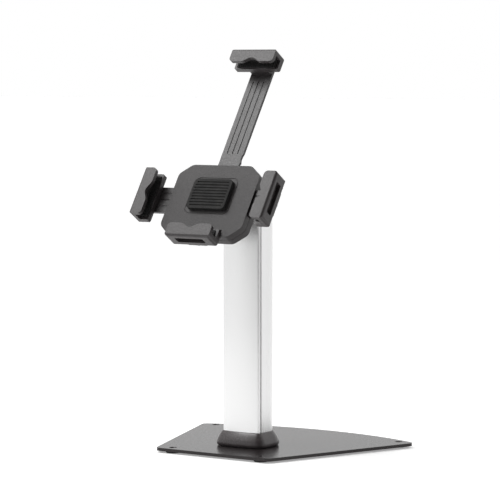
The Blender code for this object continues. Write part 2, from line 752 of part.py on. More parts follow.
def rest_pad():
    """The rubber pad that the tablet's back lies on."""
    low = -SHELL_FRONT + GAP
    outline = rectangle(27.0 * MM, 20.0 * MM, 5.0 * MM, (0.0, 6.0 * MM), 4)
    pad = mesh_object("rest_pad", extruded(outline, low, -PAD_FRONT), "rubber", turn_axis)
    add_bevel(pad, 0.8 * MM)


# Jaws, built once with X along the jaw, Y outward from the tablet's edge and Z to the front


def lip_edge(x):
    """How far inward the lip reaches at x: two lobes with a hollow between them, and rounded ends."""
    reach = JAW_OVERLAP
    if abs(x) < NOTCH_HALF_WIDTH:
        reach -= NOTCH_DEPTH * (0.5 + 0.5 * cos(pi * x / NOTCH_HALF_WIDTH))
    corner = 5.0 * MM
    inset = JAW_LENGTH / 2 - abs(x)
    if inset < corner:
        reach -= corner - sqrt(max(0.0, corner * corner - (corner - inset) ** 2))
    return -reach


def jaw_mesh():
    """The jaw's C-shaped section, drawn out and trimmed to its plan."""
    section = [
        (-JAW_OVERLAP - MM, JAW_FRONT, 0.0),
        (-JAW_OVERLAP - MM, LIP_BACK, 0.0),
        (JAW_WALL, LIP_BACK, 0.0),
        (JAW_WALL, -JAW_FLOOR, 0.0),
        (-JAW_FLOOR_REACH - MM, -JAW_FLOOR, 0.0),
        (-JAW_FLOOR_REACH - MM, -JAW_BACK, 0.0),
        (JAW_OUTSIDE, -JAW_BACK, 2.0 * MM),
        (JAW_OUTSIDE, JAW_FRONT, 3.2 * MM),
    ]
    half = JAW_LENGTH / 2
    jaw = mesh_object("jaw", extruded(rounded(section, 4), -half - MM, half + MM, axis="X"), None)
    plan = rounded(
        [
            (-half, -JAW_FLOOR_REACH, 2.0 * MM),
            (half, -JAW_FLOOR_REACH, 2.0 * MM),
            (half, JAW_OUTSIDE, 3.5 * MM),
            (-half, JAW_OUTSIDE, 3.5 * MM),
        ],
        4,
    )
    boolean(jaw, extruded(plan, -JAW_BACK - MM, JAW_FRONT + MM), "INTERSECT")
    steps = 40
    xs = [half * sin(pi / 2 * (2 * i / steps - 1)) for i in range(steps + 1)]
    edge = [(x, lip_edge(x)) for x in xs]
    start = (-half - 3.0 * MM, edge[0][1])
    end = (half + 3.0 * MM, edge[-1][1])
    below = -JAW_OVERLAP - 4.0 * MM
    trim = [(start[0], below), (end[0], below), end] + edge[::-1] + [start]
    cut(jaw, extruded(trim, LIP_BACK - 4.0 * MM, JAW_FRONT + MM))
    recess = rectangle(20.0 * MM, 4.6 * MM, 1.5 * MM, (0.0, -4.6 * MM), 3)
    hollow = extruded(recess, JAW_OUTSIDE - 4.5 * MM, JAW_OUTSIDE + 2.0 * MM)
    hollow.transform(Matrix(((1, 0, 0, 0), (0, 0, 1, 0), (0, 1, 0, 0), (0, 0, 0, 1))))
    hollow.flip_normals()
    cut(jaw, hollow)
    cut(jaw, extruded(circle(1.5 * MM, (0.0, JAW_SCREW), 12), -JAW_BACK - MM, -10.8 * MM))
    mesh = baked(jaw, Matrix.Identity(4))
    mesh.name = "jaw"
    return mesh


def liner_mesh():
    """The rubber liner that grips the tablet's edge and back."""
    section = [
        (TABLET_CLEARANCE, -LIP_BACK + 1.5 * MM),
        (TABLET_CLEARANCE, -PAD_FRONT),
        (-8.0 * MM, -PAD_FRONT),
        (-8.0 * MM, -JAW_FLOOR + GAP),
        (JAW_WALL - GAP, -JAW_FLOOR + GAP),
        (JAW_WALL - GAP, -LIP_BACK + 1.5 * MM),
    ]
    half = JAW_LENGTH / 2 - 4.0 * MM
    return extruded(section, -half, half, axis="X")


def jaw_screw_mesh(arm_back):
    screw = pan_screw(arm_back - 11.5 * MM, 1.3 * MM, 2.6 * MM, 1.5 * MM)
    screw.transform(Matrix.Rotation(pi, 4, "X"))
    return screw


SIDES = {
    "right": (-pi / 2, (TABLET_HALF_WIDTH + TABLET_CLEARANCE, 0.0), SIDE_ARM[1]),
    "top": (0.0, (0.0, TABLET_TOP + TABLET_CLEARANCE), TOP_ARM[1]),
    "left": (pi / 2, (-TABLET_HALF_WIDTH - TABLET_CLEARANCE, 0.0), SIDE_ARM[1]),
    "bottom": (pi, (0.0, TABLET_BOTTOM - TABLET_CLEARANCE), BOTTOM_ARM[1]),
}


def jaws():
    jaw = jaw_mesh()
    liner = liner_mesh()
    for side, (turn, (x, y), arm_back) in SIDES.items():
        mesh_object(f"{side}_jaw", jaw, "black_plastic", turn_axis, (x, y, 0.0), turn)
        mesh_object(f"{side}_liner", liner, "rubber", turn_axis, (x, y, 0.0), turn)
        outward = Matrix.Rotation(turn, 2) @ Vector((0.0, JAW_SCREW))
        place = (x + outward.x, y + outward.y, -arm_back - GAP)
        mesh_object(f"{side}_jaw_screw", jaw_screw_mesh(arm_back), "zinc", turn_axis, place)


def rack_outline(first, last):
    """The teeth of a rack along +X whose pitch line is y = GEAR_RADIUS, seen as its lower edge."""
    pitch = pi * GEAR_MODULE
    half_thick = (pitch - BACKLASH) / 4 - BACKLASH / 4
    tip = GEAR_RADIUS - 0.9 * GEAR_MODULE
    root = GEAR_RADIUS + 1.25 * GEAR_MODULE
    lean_tip = 0.9 * GEAR_MODULE * tan(PRESSURE_ANGLE)
    lean_root = 1.25 * GEAR_MODULE * tan(PRESSURE_ANGLE)
    points = []
    for k in range(first, last):
        middle = (k + 0.5) * pitch
        points += [
            (middle - half_thick - lean_root, root),
            (middle - half_thick + lean_tip, tip),
            (middle + half_thick - lean_tip, tip),
            (middle + half_thick + lean_root, root),
        ]
    return points


def side_arm(name, turn):
    """A flat arm with a rack on its inner end. Built as the right arm; the left one is turned half round."""
    low, high = behind(SIDE_ARM)
    start = 40.0 * MM
    end = TABLET_HALF_WIDTH + TABLET_CLEARANCE + 6.0 * MM
    width = ARM_HALF_WIDTH
    corners = [
        (start, -width, 1.0 * MM),
        (end, -width, 3.0 * MM),
        (end, width, 3.0 * MM),
        (start, width, 1.0 * MM),
    ]
    screw_hole = circle(1.8 * MM, (TABLET_HALF_WIDTH + TABLET_CLEARANCE + JAW_SCREW, 0.0), 12)
    plate = extruded(rounded(corners, 3), low, high, [screw_hole])
    arm = mesh_object(name, plate, "black_plastic", turn_axis, turn=turn)
    teeth = rack_outline(-4, 7)
    inner = -14.0 * MM
    outer = 54.0 * MM
    top = GEAR_RADIUS + 8.0 * MM
    root = GEAR_RADIUS + 1.25 * GEAR_MODULE
    outline = [(inner, top), (inner, root)] + teeth + [(outer, root), (outer, top)]
    join(arm, extruded([(x, -y) for x, y in outline][::-1], -RACK[1], low - GAP))
    join(arm, box((start + MM, -top + 0.5 * MM, -RACK[1] + MM), (outer - MM, -root - 0.5 * MM, high - MM)))
    groove = (start + 19.0 * MM, end - 19.0 * MM)
    for y in (-9.0 * MM, 0.0, 9.0 * MM):
        cut(arm, box((groove[0], y - 1.2 * MM, high - 0.7 * MM), (groove[1], y + 1.2 * MM, high + MM)))


def gear_outline():
    base = GEAR_RADIUS * cos(PRESSURE_ANGLE)
    root = GEAR_RADIUS - 1.25 * GEAR_MODULE
    tip = GEAR_RADIUS + 0.9 * GEAR_MODULE
    half = (pi * GEAR_MODULE / 2 - BACKLASH / 2) / (2 * GEAR_RADIUS)
    flank = []
    for radius in (base, (base + tip) / 2, tip):
        spread = acos(base / radius)
        opening = half + (tan(PRESSURE_ANGLE) - PRESSURE_ANGLE) - (tan(spread) - spread)
        flank.append((radius, opening))
    outline = []
    for k in range(GEAR_TEETH):
        middle = 2 * pi * k / GEAR_TEETH
        for radius, opening in [(root, flank[0][1])] + flank:
            outline.append((radius * cos(middle - opening), radius * sin(middle - opening)))
        for radius, opening in flank[::-1] + [(root, flank[0][1])]:
            outline.append((radius * cos(middle + opening), radius * sin(middle + opening)))
    return outline


def pinion():
    low = -RACK[1] + 0.3 * MM
    high = -RACK[0] - GAP
    mesh = extruded(gear_outline(), low, high, [circle(AXLE_RADIUS + 0.08 * MM, steps=24)])
    mesh_object("pinion", mesh, "gear_plastic", turn_axis)


def top_arm():
    """The long sliding arm, scalloped along one edge for the lock's cam."""
    low, high = behind(TOP_ARM)
    width = TOP_ARM_HALF_WIDTH
    start = 4.0 * MM
    end = TABLET_TOP + TABLET_CLEARANCE + 6.0 * MM
    corners = [
        (-width, start, 1.0 * MM),
        (width, start, 1.0 * MM),
        (width, end, 3.0 * MM),
        (-width, end, 3.0 * MM),
    ]
    arm = mesh_object("top_arm", extruded(rounded(corners, 3), low, high), "black_plastic", turn_axis)
    block = rectangle(width, 7.5 * MM, 3.0 * MM, (0.0, end - 7.5 * MM), 3)
    join(arm, extruded(block, low + MM, -SIDE_ARM[0]))
    cut(arm, extruded(circle(1.8 * MM, (0.0, TABLET_TOP + TABLET_CLEARANCE + JAW_SCREW), 12), low - MM, 0.0))
    for stop in LOCK_STOPS:
        scallop = circle(LOCK_REACH + GAP, (LOCK_X, LOCK_Y + stop * LOCK_STEP), 48)
        cut(arm, extruded(scallop, low - MM, high + MM))
    for x in (-7.5 * MM, 0.0, 7.5 * MM):
        cut(arm, box((x - 1.2 * MM, 70.0 * MM, high - 0.7 * MM), (x + 1.2 * MM, 172.0 * MM, high + MM)))


def bottom_arm():
    """The short fixed arm under the bottom jaw, held between the shells."""
    low, high = behind(BOTTOM_ARM)
    width = TOP_ARM_HALF_WIDTH
    end = TABLET_BOTTOM - TABLET_CLEARANCE - 6.0 * MM
    inner = -19.0 * MM
    corners = [
        (-width, end, 3.0 * MM),
        (width, end, 3.0 * MM),
        (width, inner, 1.0 * MM),
        (-width, inner, 1.0 * MM),
    ]
    hole = circle(1.8 * MM, (0.0, TABLET_BOTTOM - TABLET_CLEARANCE - JAW_SCREW), 12)
    mesh_object("bottom_arm", extruded(rounded(corners, 3), low, high, [hole]), "black_plastic", turn_axis)


def lock():
    """A key lock through the rear shell: a fixed barrel, a turning core with a key slot, and a cam."""
    place = (LOCK_X, LOCK_Y, 0.0)
    outside = -SHELL_BACK - GAP
    bore = 3.6 * MM
    profile = [
        (bore, -TOP_ARM[1] - GAP),
        (5.8 * MM, -TOP_ARM[1] - GAP),
        (5.8 * MM, outside),
        (8.0 * MM, outside),
        (8.0 * MM, outside - 1.0 * MM),
        (7.4 * MM, outside - 1.6 * MM),
        (bore, outside - 1.6 * MM),
    ]
    mesh_object("lock_barrel", turned(profile, 24, closed=True), "nickel", turn_axis, place)
    core_mesh = lock_core_mesh(bore - 0.08 * MM, outside - 2.0 * MM)
    core = mesh_object("lock_core", core_mesh, "nickel", turn_axis, place)
    cut(core, box((-0.5 * MM, -2.6 * MM, outside - 4.0 * MM), (0.5 * MM, 2.6 * MM, outside + 2.0 * MM)))
    low, high = -TOP_ARM[1] + GAP, -TOP_ARM[0] - GAP
    hub = 4.2 * MM
    outline = arc((0.0, 0.0), LOCK_REACH, -pi / 2 - CAM_HALF_ANGLE, -pi / 2 + CAM_HALF_ANGLE, 6)
    outline += arc((0.0, 0.0), hub, -pi / 6, 7 * pi / 6, 14)
    mesh = extruded(outline, low, high, [rectangle(1.65 * MM, 1.65 * MM, 0.0)])
    mesh_object("lock_cam", mesh, "zinc", turn_axis, place)


def lock_core_mesh(radius, end):
    """A round core with a square tail that carries the cam."""
    shoulder = -TOP_ARM[1]
    helper = mesh_object("core", extruded(circle(radius, steps=24), end, shoulder), None)
    join(helper, extruded(rectangle(1.5 * MM, 1.5 * MM, 0.0), shoulder - MM, -TOP_ARM[0] + 0.2 * MM))
    return baked(helper, Matrix.Identity(4))


build_order = (
    base_plate,
    feet,
    base_screws,
    column_profile,
    column_front_cover,
    collar,
    column_cap,
    head_bracket,
    head_screws,
    tilt_pin,
    tilt_bracket,
    turn_bolt,
    front_shell,
    rear_shell,
    turn_disc,
    shell_screws,
    rest_pad,
    jaws,
    pinion,
    top_arm,
    bottom_arm,
    lock,
)
for build in build_order:
    build()
side_arm("right_arm", 0.0)
side_arm("left_arm", pi)
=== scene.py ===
"""The looks of a lockable desk stand for a tablet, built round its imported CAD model.

Metres, +Z up, the front faces -Y. Holder coordinates are (x, y, z) with x to the right, y up along the tablet
and z towards the reader, from the point where the holder's four arms cross.
"""

from math import acos, asin, atan2, cos, pi, radians, sin, sqrt, tan

import bmesh
import bpy
from mathutils import Matrix, Vector


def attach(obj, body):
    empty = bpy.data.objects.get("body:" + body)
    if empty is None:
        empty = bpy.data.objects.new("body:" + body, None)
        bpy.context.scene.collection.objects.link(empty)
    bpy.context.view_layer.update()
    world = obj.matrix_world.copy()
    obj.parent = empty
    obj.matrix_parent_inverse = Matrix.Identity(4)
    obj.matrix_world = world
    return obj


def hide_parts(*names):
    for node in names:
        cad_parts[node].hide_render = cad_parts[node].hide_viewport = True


MM = 0.001
GAP = 0.3 * MM

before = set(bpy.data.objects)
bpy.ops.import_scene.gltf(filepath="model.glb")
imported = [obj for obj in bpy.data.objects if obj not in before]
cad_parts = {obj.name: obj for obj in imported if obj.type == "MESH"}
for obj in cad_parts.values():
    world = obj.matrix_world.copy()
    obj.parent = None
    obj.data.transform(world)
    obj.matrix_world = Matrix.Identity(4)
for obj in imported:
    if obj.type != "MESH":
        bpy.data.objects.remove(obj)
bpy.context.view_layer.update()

# The CAD model's sizes that the finer pieces repeat

FOOT_HEIGHT = 2.0 * MM
FOOT_RADIUS = 8.5 * MM
PLATE_BOTTOM = FOOT_HEIGHT + GAP
PLATE_TOP = PLATE_BOTTOM + 3.8 * MM
PLATE_FRONT = -76.2 * MM
PLATE_BACK = 163.5 * MM
PLATE_BACK_CORNER = 130.2 * MM
PLATE_FRONT_HALF_WIDTH = 80.6 * MM
PLATE_BACK_HALF_WIDTH = 156.1 * MM
PLATE_CORNER_RADIUS = 8.0 * MM
HOLE_RADIUS = 2.75 * MM
FRONT_HOLE = (63.3 * MM, -65.0 * MM)
BACK_HOLE = (135.2 * MM, 127.9 * MM)

COLUMN_Y = -19.0 * MM
COLUMN_HALF_WIDTH = 26.2 * MM
COLUMN_FRONT = -11.1 * MM
COLUMN_BACK = 29.0 * MM
COLUMN_CORNER = 3.2 * MM
COLUMN_REAR_RADIUS = 20.0 * MM
COLUMN_TOP = 289.4 * MM
COLUMN_WALL = 2.0 * MM
COVER_LAP = 1.6 * MM
SEAM_WIDTH = 0.8 * MM
FRONT_BULGE = 2.6 * MM
PORT_X = 13.0 * MM
PORT_Y = 6.2 * MM
PORT_RADIUS = 2.0 * MM
PORT_BLOCK = 4.0 * MM
PORT_PLAY = 0.15 * MM
PORTS = [(sx * PORT_X, sy * PORT_Y) for sx in (-1, 1) for sy in (-1, 1)]
COLLAR_HEIGHT = 18.0 * MM
CAP_THICKNESS = 4.0 * MM

TILT = radians(33.3)
CROSS_Y = -89.1 * MM
CROSS_Z = 311.5 * MM
TABLET_HALF_WIDTH = 84.75 * MM
TABLET_BOTTOM = -50.0 * MM
TABLET_TOP = 190.0 * MM

PAD_FRONT = 7.8 * MM
JAW_FLOOR = 9.3 * MM
JAW_BACK = 15.8 * MM
SHELL_FRONT = 13.3 * MM
SHELL_SPLIT = 22.0 * MM
SHELL_BACK = 30.5 * MM
SHELL_WALL = 2.3 * MM
SIDE_ARM = (16.1 * MM, 19.6 * MM)
RACK = (19.6 * MM, 23.0 * MM)
TOP_ARM = (23.6 * MM, 27.0 * MM)
TURN_DISC = (30.8 * MM, 33.8 * MM)
TILT_PLATE = (35.4 * MM, 38.4 * MM)
BOTTOM_ARM = (16.1 * MM, 21.7 * MM)

SHELL_HALF_HEIGHT = 48.0 * MM
SHELL_HALF_WIDTH = 58.0 * MM
SHELL_CORNER = (16.0 * MM, 13.0 * MM)
SHELL_SCREW_SINK = 2.6 * MM
DISC_SCREW_SINK = 1.3 * MM
DISC_RADIUS = 24.0 * MM
PAD_MIDDLE = 6.0 * MM
BOSSES = [(sx * 45.0 * MM, sy * 23.5 * MM) for sx in (-1, 1) for sy in (-1, 1)]
DISC_SCREWS = [(17.0 * MM * cos(a), 17.0 * MM * sin(a)) for a in (pi / 2, 7 * pi / 6, 11 * pi / 6)]

JAW_LENGTH = 62.5 * MM
JAW_FLOOR_REACH = 10.0 * MM
JAW_SCREW = 3.2 * MM
JAW_WALL = 2.0 * MM
JAW_OVERLAP = 8.4 * MM
JAW_OUTSIDE = 9.3 * MM
JAW_FRONT = 6.0 * MM
LIP_BACK = 1.0 * MM
NOTCH_DEPTH = 5.2 * MM
NOTCH_HALF_WIDTH = 14.0 * MM
TABLET_CLEARANCE = 0.4 * MM

ARM_HALF_WIDTH = 17.0 * MM
TOP_ARM_HALF_WIDTH = 15.0 * MM
SIDE_SLOT = ARM_HALF_WIDTH + 0.4 * MM
TOP_SLOT = TOP_ARM_HALF_WIDTH + 0.4 * MM
PIN_UP = 40.0 * MM
PIN_BACK = 53.0 * MM
PIN_RADIUS = 4.0 * MM
EAR_RADIUS = 8.5 * MM
PIN_PLAY = 0.1 * MM
INNER_EAR = (13.5 * MM, 16.5 * MM)
OUTER_EAR = (18.5 * MM, 21.5 * MM)
HEAD_FLOOR = COLUMN_TOP + GAP + CAP_THICKNESS + GAP
HEAD_PLATE = 3.0 * MM
LOCK_X = 31.0 * MM
LOCK_Y = 26.0 * MM
LOCK_REACH = 16.8 * MM
LOCK_STEP = 13.0 * MM
LOCK_STOPS = (-1, 0, 1, 2, 3)

STAND = Matrix.Translation((0.0, COLUMN_Y, 0.0))
HOLDER = Matrix.Translation((0.0, COLUMN_Y + CROSS_Y, CROSS_Z)) @ Matrix.Rotation(pi / 2 - TILT, 4, "X")
PIN = HOLDER @ Matrix.Translation((0.0, PIN_UP, -PIN_BACK))
pin_place = PIN.to_translation() - Vector((0.0, COLUMN_Y, 0.0))

# Materials


class Look:
    """A node material: texture coordinates in metres, and short ways to add noise, ramps and bumps."""

    def __init__(self, name, **constants):
        self.material = bpy.data.materials.new(name)
        self.material.use_nodes = True
        self.tree = self.material.node_tree
        self.shader = self.tree.nodes["Principled BSDF"]
        for socket, value in constants.items():
            self.shader.inputs[socket.replace("_", " ")].default_value = value
        self.place = self.tree.nodes.new("ShaderNodeTexCoord").outputs["Object"]
        self.normal = None

    def link(self, source, target):
        self.tree.links.new(source, target)

    def stretched(self, scale, turn=(0.0, 0.0, 0.0)):
        mapping = self.tree.nodes.new("ShaderNodeMapping")
        mapping.inputs["Scale"].default_value = scale
        mapping.inputs["Rotation"].default_value = turn
        self.link(self.place, mapping.inputs["Vector"])
        return mapping.outputs["Vector"]

    def noise(self, scale, detail=3.0, roughness=0.5, place=None):
        node = self.tree.nodes.new("ShaderNodeTexNoise")
        node.inputs["Scale"].default_value = scale
        node.inputs["Detail"].default_value = detail
        node.inputs["Roughness"].default_value = roughness
        self.link(place or self.place, node.inputs["Vector"])
        return node.outputs["Fac"]

    def grains(self, scale):
        node = self.tree.nodes.new("ShaderNodeTexVoronoi")
        node.inputs["Scale"].default_value = scale
        self.link(self.place, node.inputs["Vector"])
        return node.outputs["Distance"]

    def ramp(self, source, low, high, start, end):
        """Maps a value from low-high to colours or numbers start-end."""
        node = self.tree.nodes.new("ShaderNodeValToRGB")
        for element, position, value in zip(node.color_ramp.elements, (low, high), (start, end)):
            element.position = position
            element.color = (*value, 1.0) if isinstance(value, tuple) else (value, value, value, 1.0)
        self.link(source, node.inputs["Fac"])
        return node.outputs["Color"]

    def mixed(self, factor, first, second, mode="MIX"):
        node = self.tree.nodes.new("ShaderNodeMix")
        node.data_type = "RGBA"
        node.blend_type = mode
        inputs = [socket for socket in node.inputs if socket.type == "RGBA"]
        if isinstance(factor, float):
            node.inputs["Factor"].default_value = factor
        else:
            self.link(factor, node.inputs["Factor"])
        self.link(first, inputs[0])
        self.link(second, inputs[1])
        return next(socket for socket in node.outputs if socket.type == "RGBA")

    def bump(self, height, distance, strength=1.0):
        node = self.tree.nodes.new("ShaderNodeBump")
        node.inputs["Strength"].default_value = strength
        node.inputs["Distance"].default_value = distance
        self.link(height, node.inputs["Height"])
        if self.normal:
            self.link(self.normal, node.inputs["Normal"])
        self.normal = node.outputs["Normal"]
        self.link(self.normal, self.shader.inputs["Normal"])

    def colour(self, source):
        self.link(source, self.shader.inputs["Base Color"])

    def rough(self, source):
        self.link(source, self.shader.inputs["Roughness"])


def grey(value, warmth=0.0):
    return (value * (1.0 + warmth), value, value * (1.0 - warmth))


def smoky(value):
    """A dark grey with a slight warm cast."""
    return (value * 1.14, value * 0.975, value)


def powder_coat():
    look = Look("powder_coat", Metallic=0.0, Specular_IOR_Level=0.22)
    cloud = look.ramp(look.noise(14.0, 4.0), 0.3, 0.7, smoky(0.022), smoky(0.029))
    speck = look.ramp(look.noise(2600.0, 2.0, 0.7), 0.35, 0.7, grey(0.8), grey(1.12))
    look.colour(look.mixed(1.0, cloud, speck, "MULTIPLY"))
    look.rough(look.ramp(look.noise(320.0, 3.0), 0.3, 0.7, 0.2, 0.27))
    look.bump(look.grains(850.0), 0.000012, 0.5)
    look.bump(look.noise(2400.0, 2.0), 0.000008, 0.5)
    return look.material


def anodised(name, tone, roughness):
    """Satin aluminium with the faint lines that the extrusion die leaves along Z."""
    look = Look(name, Metallic=0.85, Specular_IOR_Level=0.5)
    lines = look.noise(1.0, 4.0, 0.65, look.stretched((900.0, 900.0, 6.0)))
    cloud = look.ramp(look.noise(9.0, 3.0), 0.3, 0.7, grey(tone), grey(tone * 1.03))
    shade = look.ramp(lines, 0.3, 0.72, grey(0.995), grey(1.0))
    look.colour(look.mixed(1.0, cloud, shade, "MULTIPLY"))
    look.rough(look.ramp(lines, 0.3, 0.7, roughness, roughness + 0.03))
    look.bump(lines, 0.000003, 0.3)
    look.bump(look.noise(3500.0, 2.0), 0.00001, 0.4)
    return look.material


def moulded_plastic(name, tone, roughness, grain=1.0):
    """Moulded plastic with a spark-eroded grain."""
    look = Look(name, Metallic=0.0, Specular_IOR_Level=0.5)
    cloud = look.ramp(look.noise(25.0, 4.0), 0.3, 0.7, smoky(tone * 0.9), smoky(tone * 1.1))
    speck = look.ramp(look.noise(1500.0, 3.0, 0.6), 0.32, 0.7, grey(0.7), grey(1.25))
    look.colour(look.mixed(1.0, cloud, speck, "MULTIPLY"))
    look.rough(look.ramp(look.noise(700.0, 3.0), 0.3, 0.7, roughness, roughness + 0.12))
    look.bump(look.grains(1100.0), 0.0001 * grain, 0.8)
    look.bump(look.noise(420.0, 4.0, 0.7), 0.00026 * grain, 0.8)
    return look.material


def rubber():
    look = Look("rubber", Metallic=0.0, Specular_IOR_Level=0.3)
    dust = look.ramp(look.noise(60.0, 5.0, 0.65), 0.45, 0.75, grey(0.018, 0.02), grey(0.032, 0.03))
    look.colour(dust)
    look.rough(look.ramp(look.noise(500.0, 3.0), 0.3, 0.7, 0.72, 0.9))
    look.bump(look.noise(1500.0, 3.0), 0.00005, 0.7)
    return look.material


def coated_steel():
    look = Look("coated_steel", Metallic=0.0, Specular_IOR_Level=0.5)
    look.colour(look.ramp(look.noise(30.0, 4.0), 0.3, 0.7, grey(0.022), grey(0.034)))
    look.rough(look.ramp(look.noise(260.0, 4.0), 0.3, 0.7, 0.34, 0.46))
    look.bump(look.noise(800.0, 3.0), 0.00003, 0.6)
    return look.material


def plated(name, tint, low, high):
    """Plated steel with fine turning marks and a slightly uneven sheen."""
    look = Look(name, Metallic=1.0)
    darker = tuple(value * 0.86 for value in tint)
    look.colour(look.ramp(look.noise(120.0, 4.0, 0.6), 0.3, 0.7, darker, tint))
    look.rough(look.ramp(look.noise(600.0, 4.0, 0.6), 0.3, 0.7, low, high))
    look.bump(look.noise(2600.0, 2.0), 0.00002, 0.5)
    return look.material


def acetal():
    look = Look("acetal", Metallic=0.0, Subsurface_Weight=0.1, Subsurface_Radius=(0.002, 0.002, 0.0015))
    look.colour(look.ramp(look.noise(90.0, 3.0), 0.3, 0.7, (0.66, 0.64, 0.58), (0.74, 0.72, 0.66)))
    look.rough(look.ramp(look.noise(500.0, 3.0), 0.3, 0.7, 0.38, 0.5))
    look.bump(look.noise(1800.0, 2.0), 0.00002, 0.5)
    return look.material


LOOKS = {
    "powder_coat": powder_coat(),
    "anodised": anodised("anodised", 0.75, 0.24),
    "anodised_body": anodised("anodised_body", 0.765, 0.27),
    "black_plastic": moulded_plastic("black_plastic", 0.02, 0.5),
    "jaw_plastic": moulded_plastic("jaw_plastic", 0.028, 0.38),
    "collar_plastic": moulded_plastic("collar_plastic", 0.063, 0.2, 0.25),
    "arm_plastic": moulded_plastic("arm_plastic", 0.02, 0.36, 0.5),
    "rubber": rubber(),
    "black_steel": coated_steel(),
    "zinc": plated("zinc", (0.62, 0.63, 0.65), 0.28, 0.42),
    "nickel": plated("nickel", (0.72, 0.69, 0.64), 0.16, 0.28),
    "gear_plastic": acetal(),
}

# Outlines, as lists of (x, y)


def arc(centre, radius, start, end, steps):
    angles = [start + (end - start) * i / steps for i in range(steps + 1)]
    return [(centre[0] + radius * cos(a), centre[1] + radius * sin(a)) for a in angles]


def circle(radius, centre=(0.0, 0.0), steps=48):
    return arc(centre, radius, 0.0, 2 * pi, steps)[:-1]


def hexagon(radius):
    return [(radius * cos(k * pi / 3), radius * sin(k * pi / 3)) for k in range(6)]


def rounded(corners, steps=10):
    """An outline whose corners, given as (x, y, radius), are arcs."""
    outline = []
    for i, (x, y, radius) in enumerate(corners):
        here = Vector((x, y))
        before = (Vector(corners[i - 1][:2]) - here).normalized()
        after = (Vector(corners[(i + 1) % len(corners)][:2]) - here).normalized()
        if radius <= 0.0:
            outline.append((x, y))
            continue
        half = acos(max(-1.0, min(1.0, before.dot(after)))) / 2
        centre = here + (before + after).normalized() * (radius / sin(half))
        first = here + before * (radius / tan(half)) - centre
        last = here + after * (radius / tan(half)) - centre
        start = atan2(first.y, first.x)
        sweep = atan2(last.y, last.x) - start
        sweep = (sweep + pi) % (2 * pi) - pi
        outline += arc(centre, radius, start, start + sweep, steps)
    return outline


def rectangle(half_width, half_height, radius, centre=(0.0, 0.0), steps=8):
    x, y = centre
    corners = [
        (x - half_width, y - half_height, radius),
        (x + half_width, y - half_height, radius),
        (x + half_width, y + half_height, radius),
        (x - half_width, y + half_height, radius),
    ]
    return rounded(corners, steps)


# Meshes

ON_X = Matrix(((0, 0, 1, 0), (1, 0, 0, 0), (0, 1, 0, 0), (0, 0, 0, 1)))
TURNED_OVER = Matrix.Rotation(pi, 4, "X")
SCRATCH = bpy.data.collections.new("scratch")
bpy.context.scene.collection.children.link(SCRATCH)


def extruded(outline, low, high, holes=(), on_x=False):
    """A flat outline with holes, drawn from low to high along Z, or along X with the outline in (y, z)."""
    curve = bpy.data.curves.new("outline", "CURVE")
    curve.dimensions = "2D"
    curve.fill_mode = "BOTH"
    curve.extrude = (high - low) / 2
    for loop in (outline, *holes):
        spline = curve.splines.new("POLY")
        spline.points.add(len(loop) - 1)
        for point, (x, y) in zip(spline.points, loop):
            point.co = (x, y, 0.0, 1.0)
        spline.use_cyclic_u = True
    source = bpy.data.objects.new("outline", curve)
    SCRATCH.objects.link(source)
    graph = bpy.context.evaluated_depsgraph_get()
    mesh = bpy.data.meshes.new_from_object(source.evaluated_get(graph))
    bpy.data.objects.remove(source, do_unlink=True)
    bpy.data.curves.remove(curve)
    mesh.transform(Matrix.Translation((0.0, 0.0, (low + high) / 2)))
    if on_x:
        mesh.transform(ON_X)
    work = bmesh.new()
    work.from_mesh(mesh)
    bmesh.ops.remove_doubles(work, verts=work.verts, dist=0.002 * MM)
    bmesh.ops.recalc_face_normals(work, faces=work.faces)
    work.to_mesh(mesh)
    work.free()
    return mesh


def box(low, high):
    work = bmesh.new()
    bmesh.ops.create_cube(work, size=1.0)
    bmesh.ops.scale(work, vec=[h - l for l, h in zip(low, high)], verts=work.verts)
    bmesh.ops.translate(work, vec=[(h + l) / 2 for l, h in zip(low, high)], verts=work.verts)
    mesh = bpy.data.meshes.new("box")
    work.to_mesh(mesh)
    work.free()
    return mesh


def lathe(profile, steps=64, closed=False, on_x=False):
    """A profile of (radius, height) turned about Z, or about X."""
    work = bmesh.new()
    rings = []
    for radius, height in profile:
        if radius <= 0.0:
            rings.append([work.verts.new((0.0, 0.0, height))])
            continue
        ring = []
        for k in range(steps):
            angle = 2 * pi * k / steps
            ring.append(work.verts.new((radius * cos(angle), radius * sin(angle), height)))
        rings.append(ring)
    pairs = list(zip(rings, rings[1:]))
    if closed:
        pairs.append((rings[-1], rings[0]))
    for this, other in pairs:
        for k in range(steps):
            after = (k + 1) % steps
            if len(this) == 1:
                work.faces.new((this[0], other[k], other[after]))
            elif len(other) == 1:
                work.faces.new((this[k], other[0], this[after]))
            else:
                work.faces.new((this[k], other[k], other[after], this[after]))
    bmesh.ops.recalc_face_normals(work, faces=work.faces)
    mesh = bpy.data.meshes.new("lathe")
    work.to_mesh(mesh)
    work.free()
    if on_x:
        mesh.transform(ON_X)
    return mesh


def loft(rings):
    """A closed body between rings of equal length, the last joined to the first."""
    work = bmesh.new()
    verts = [[work.verts.new(point) for point in ring] for ring in rings]
    count = len(rings[0])
    for i in range(len(rings)):
        this, other = verts[i], verts[(i + 1) % len(rings)]
        for k in range(count):
            after = (k + 1) % count
            work.faces.new((this[k], this[after], other[after], other[k]))
    bmesh.ops.recalc_face_normals(work, faces=work.faces)
    mesh = bpy.data.meshes.new("loft")
    work.to_mesh(mesh)
    work.free()
    return mesh


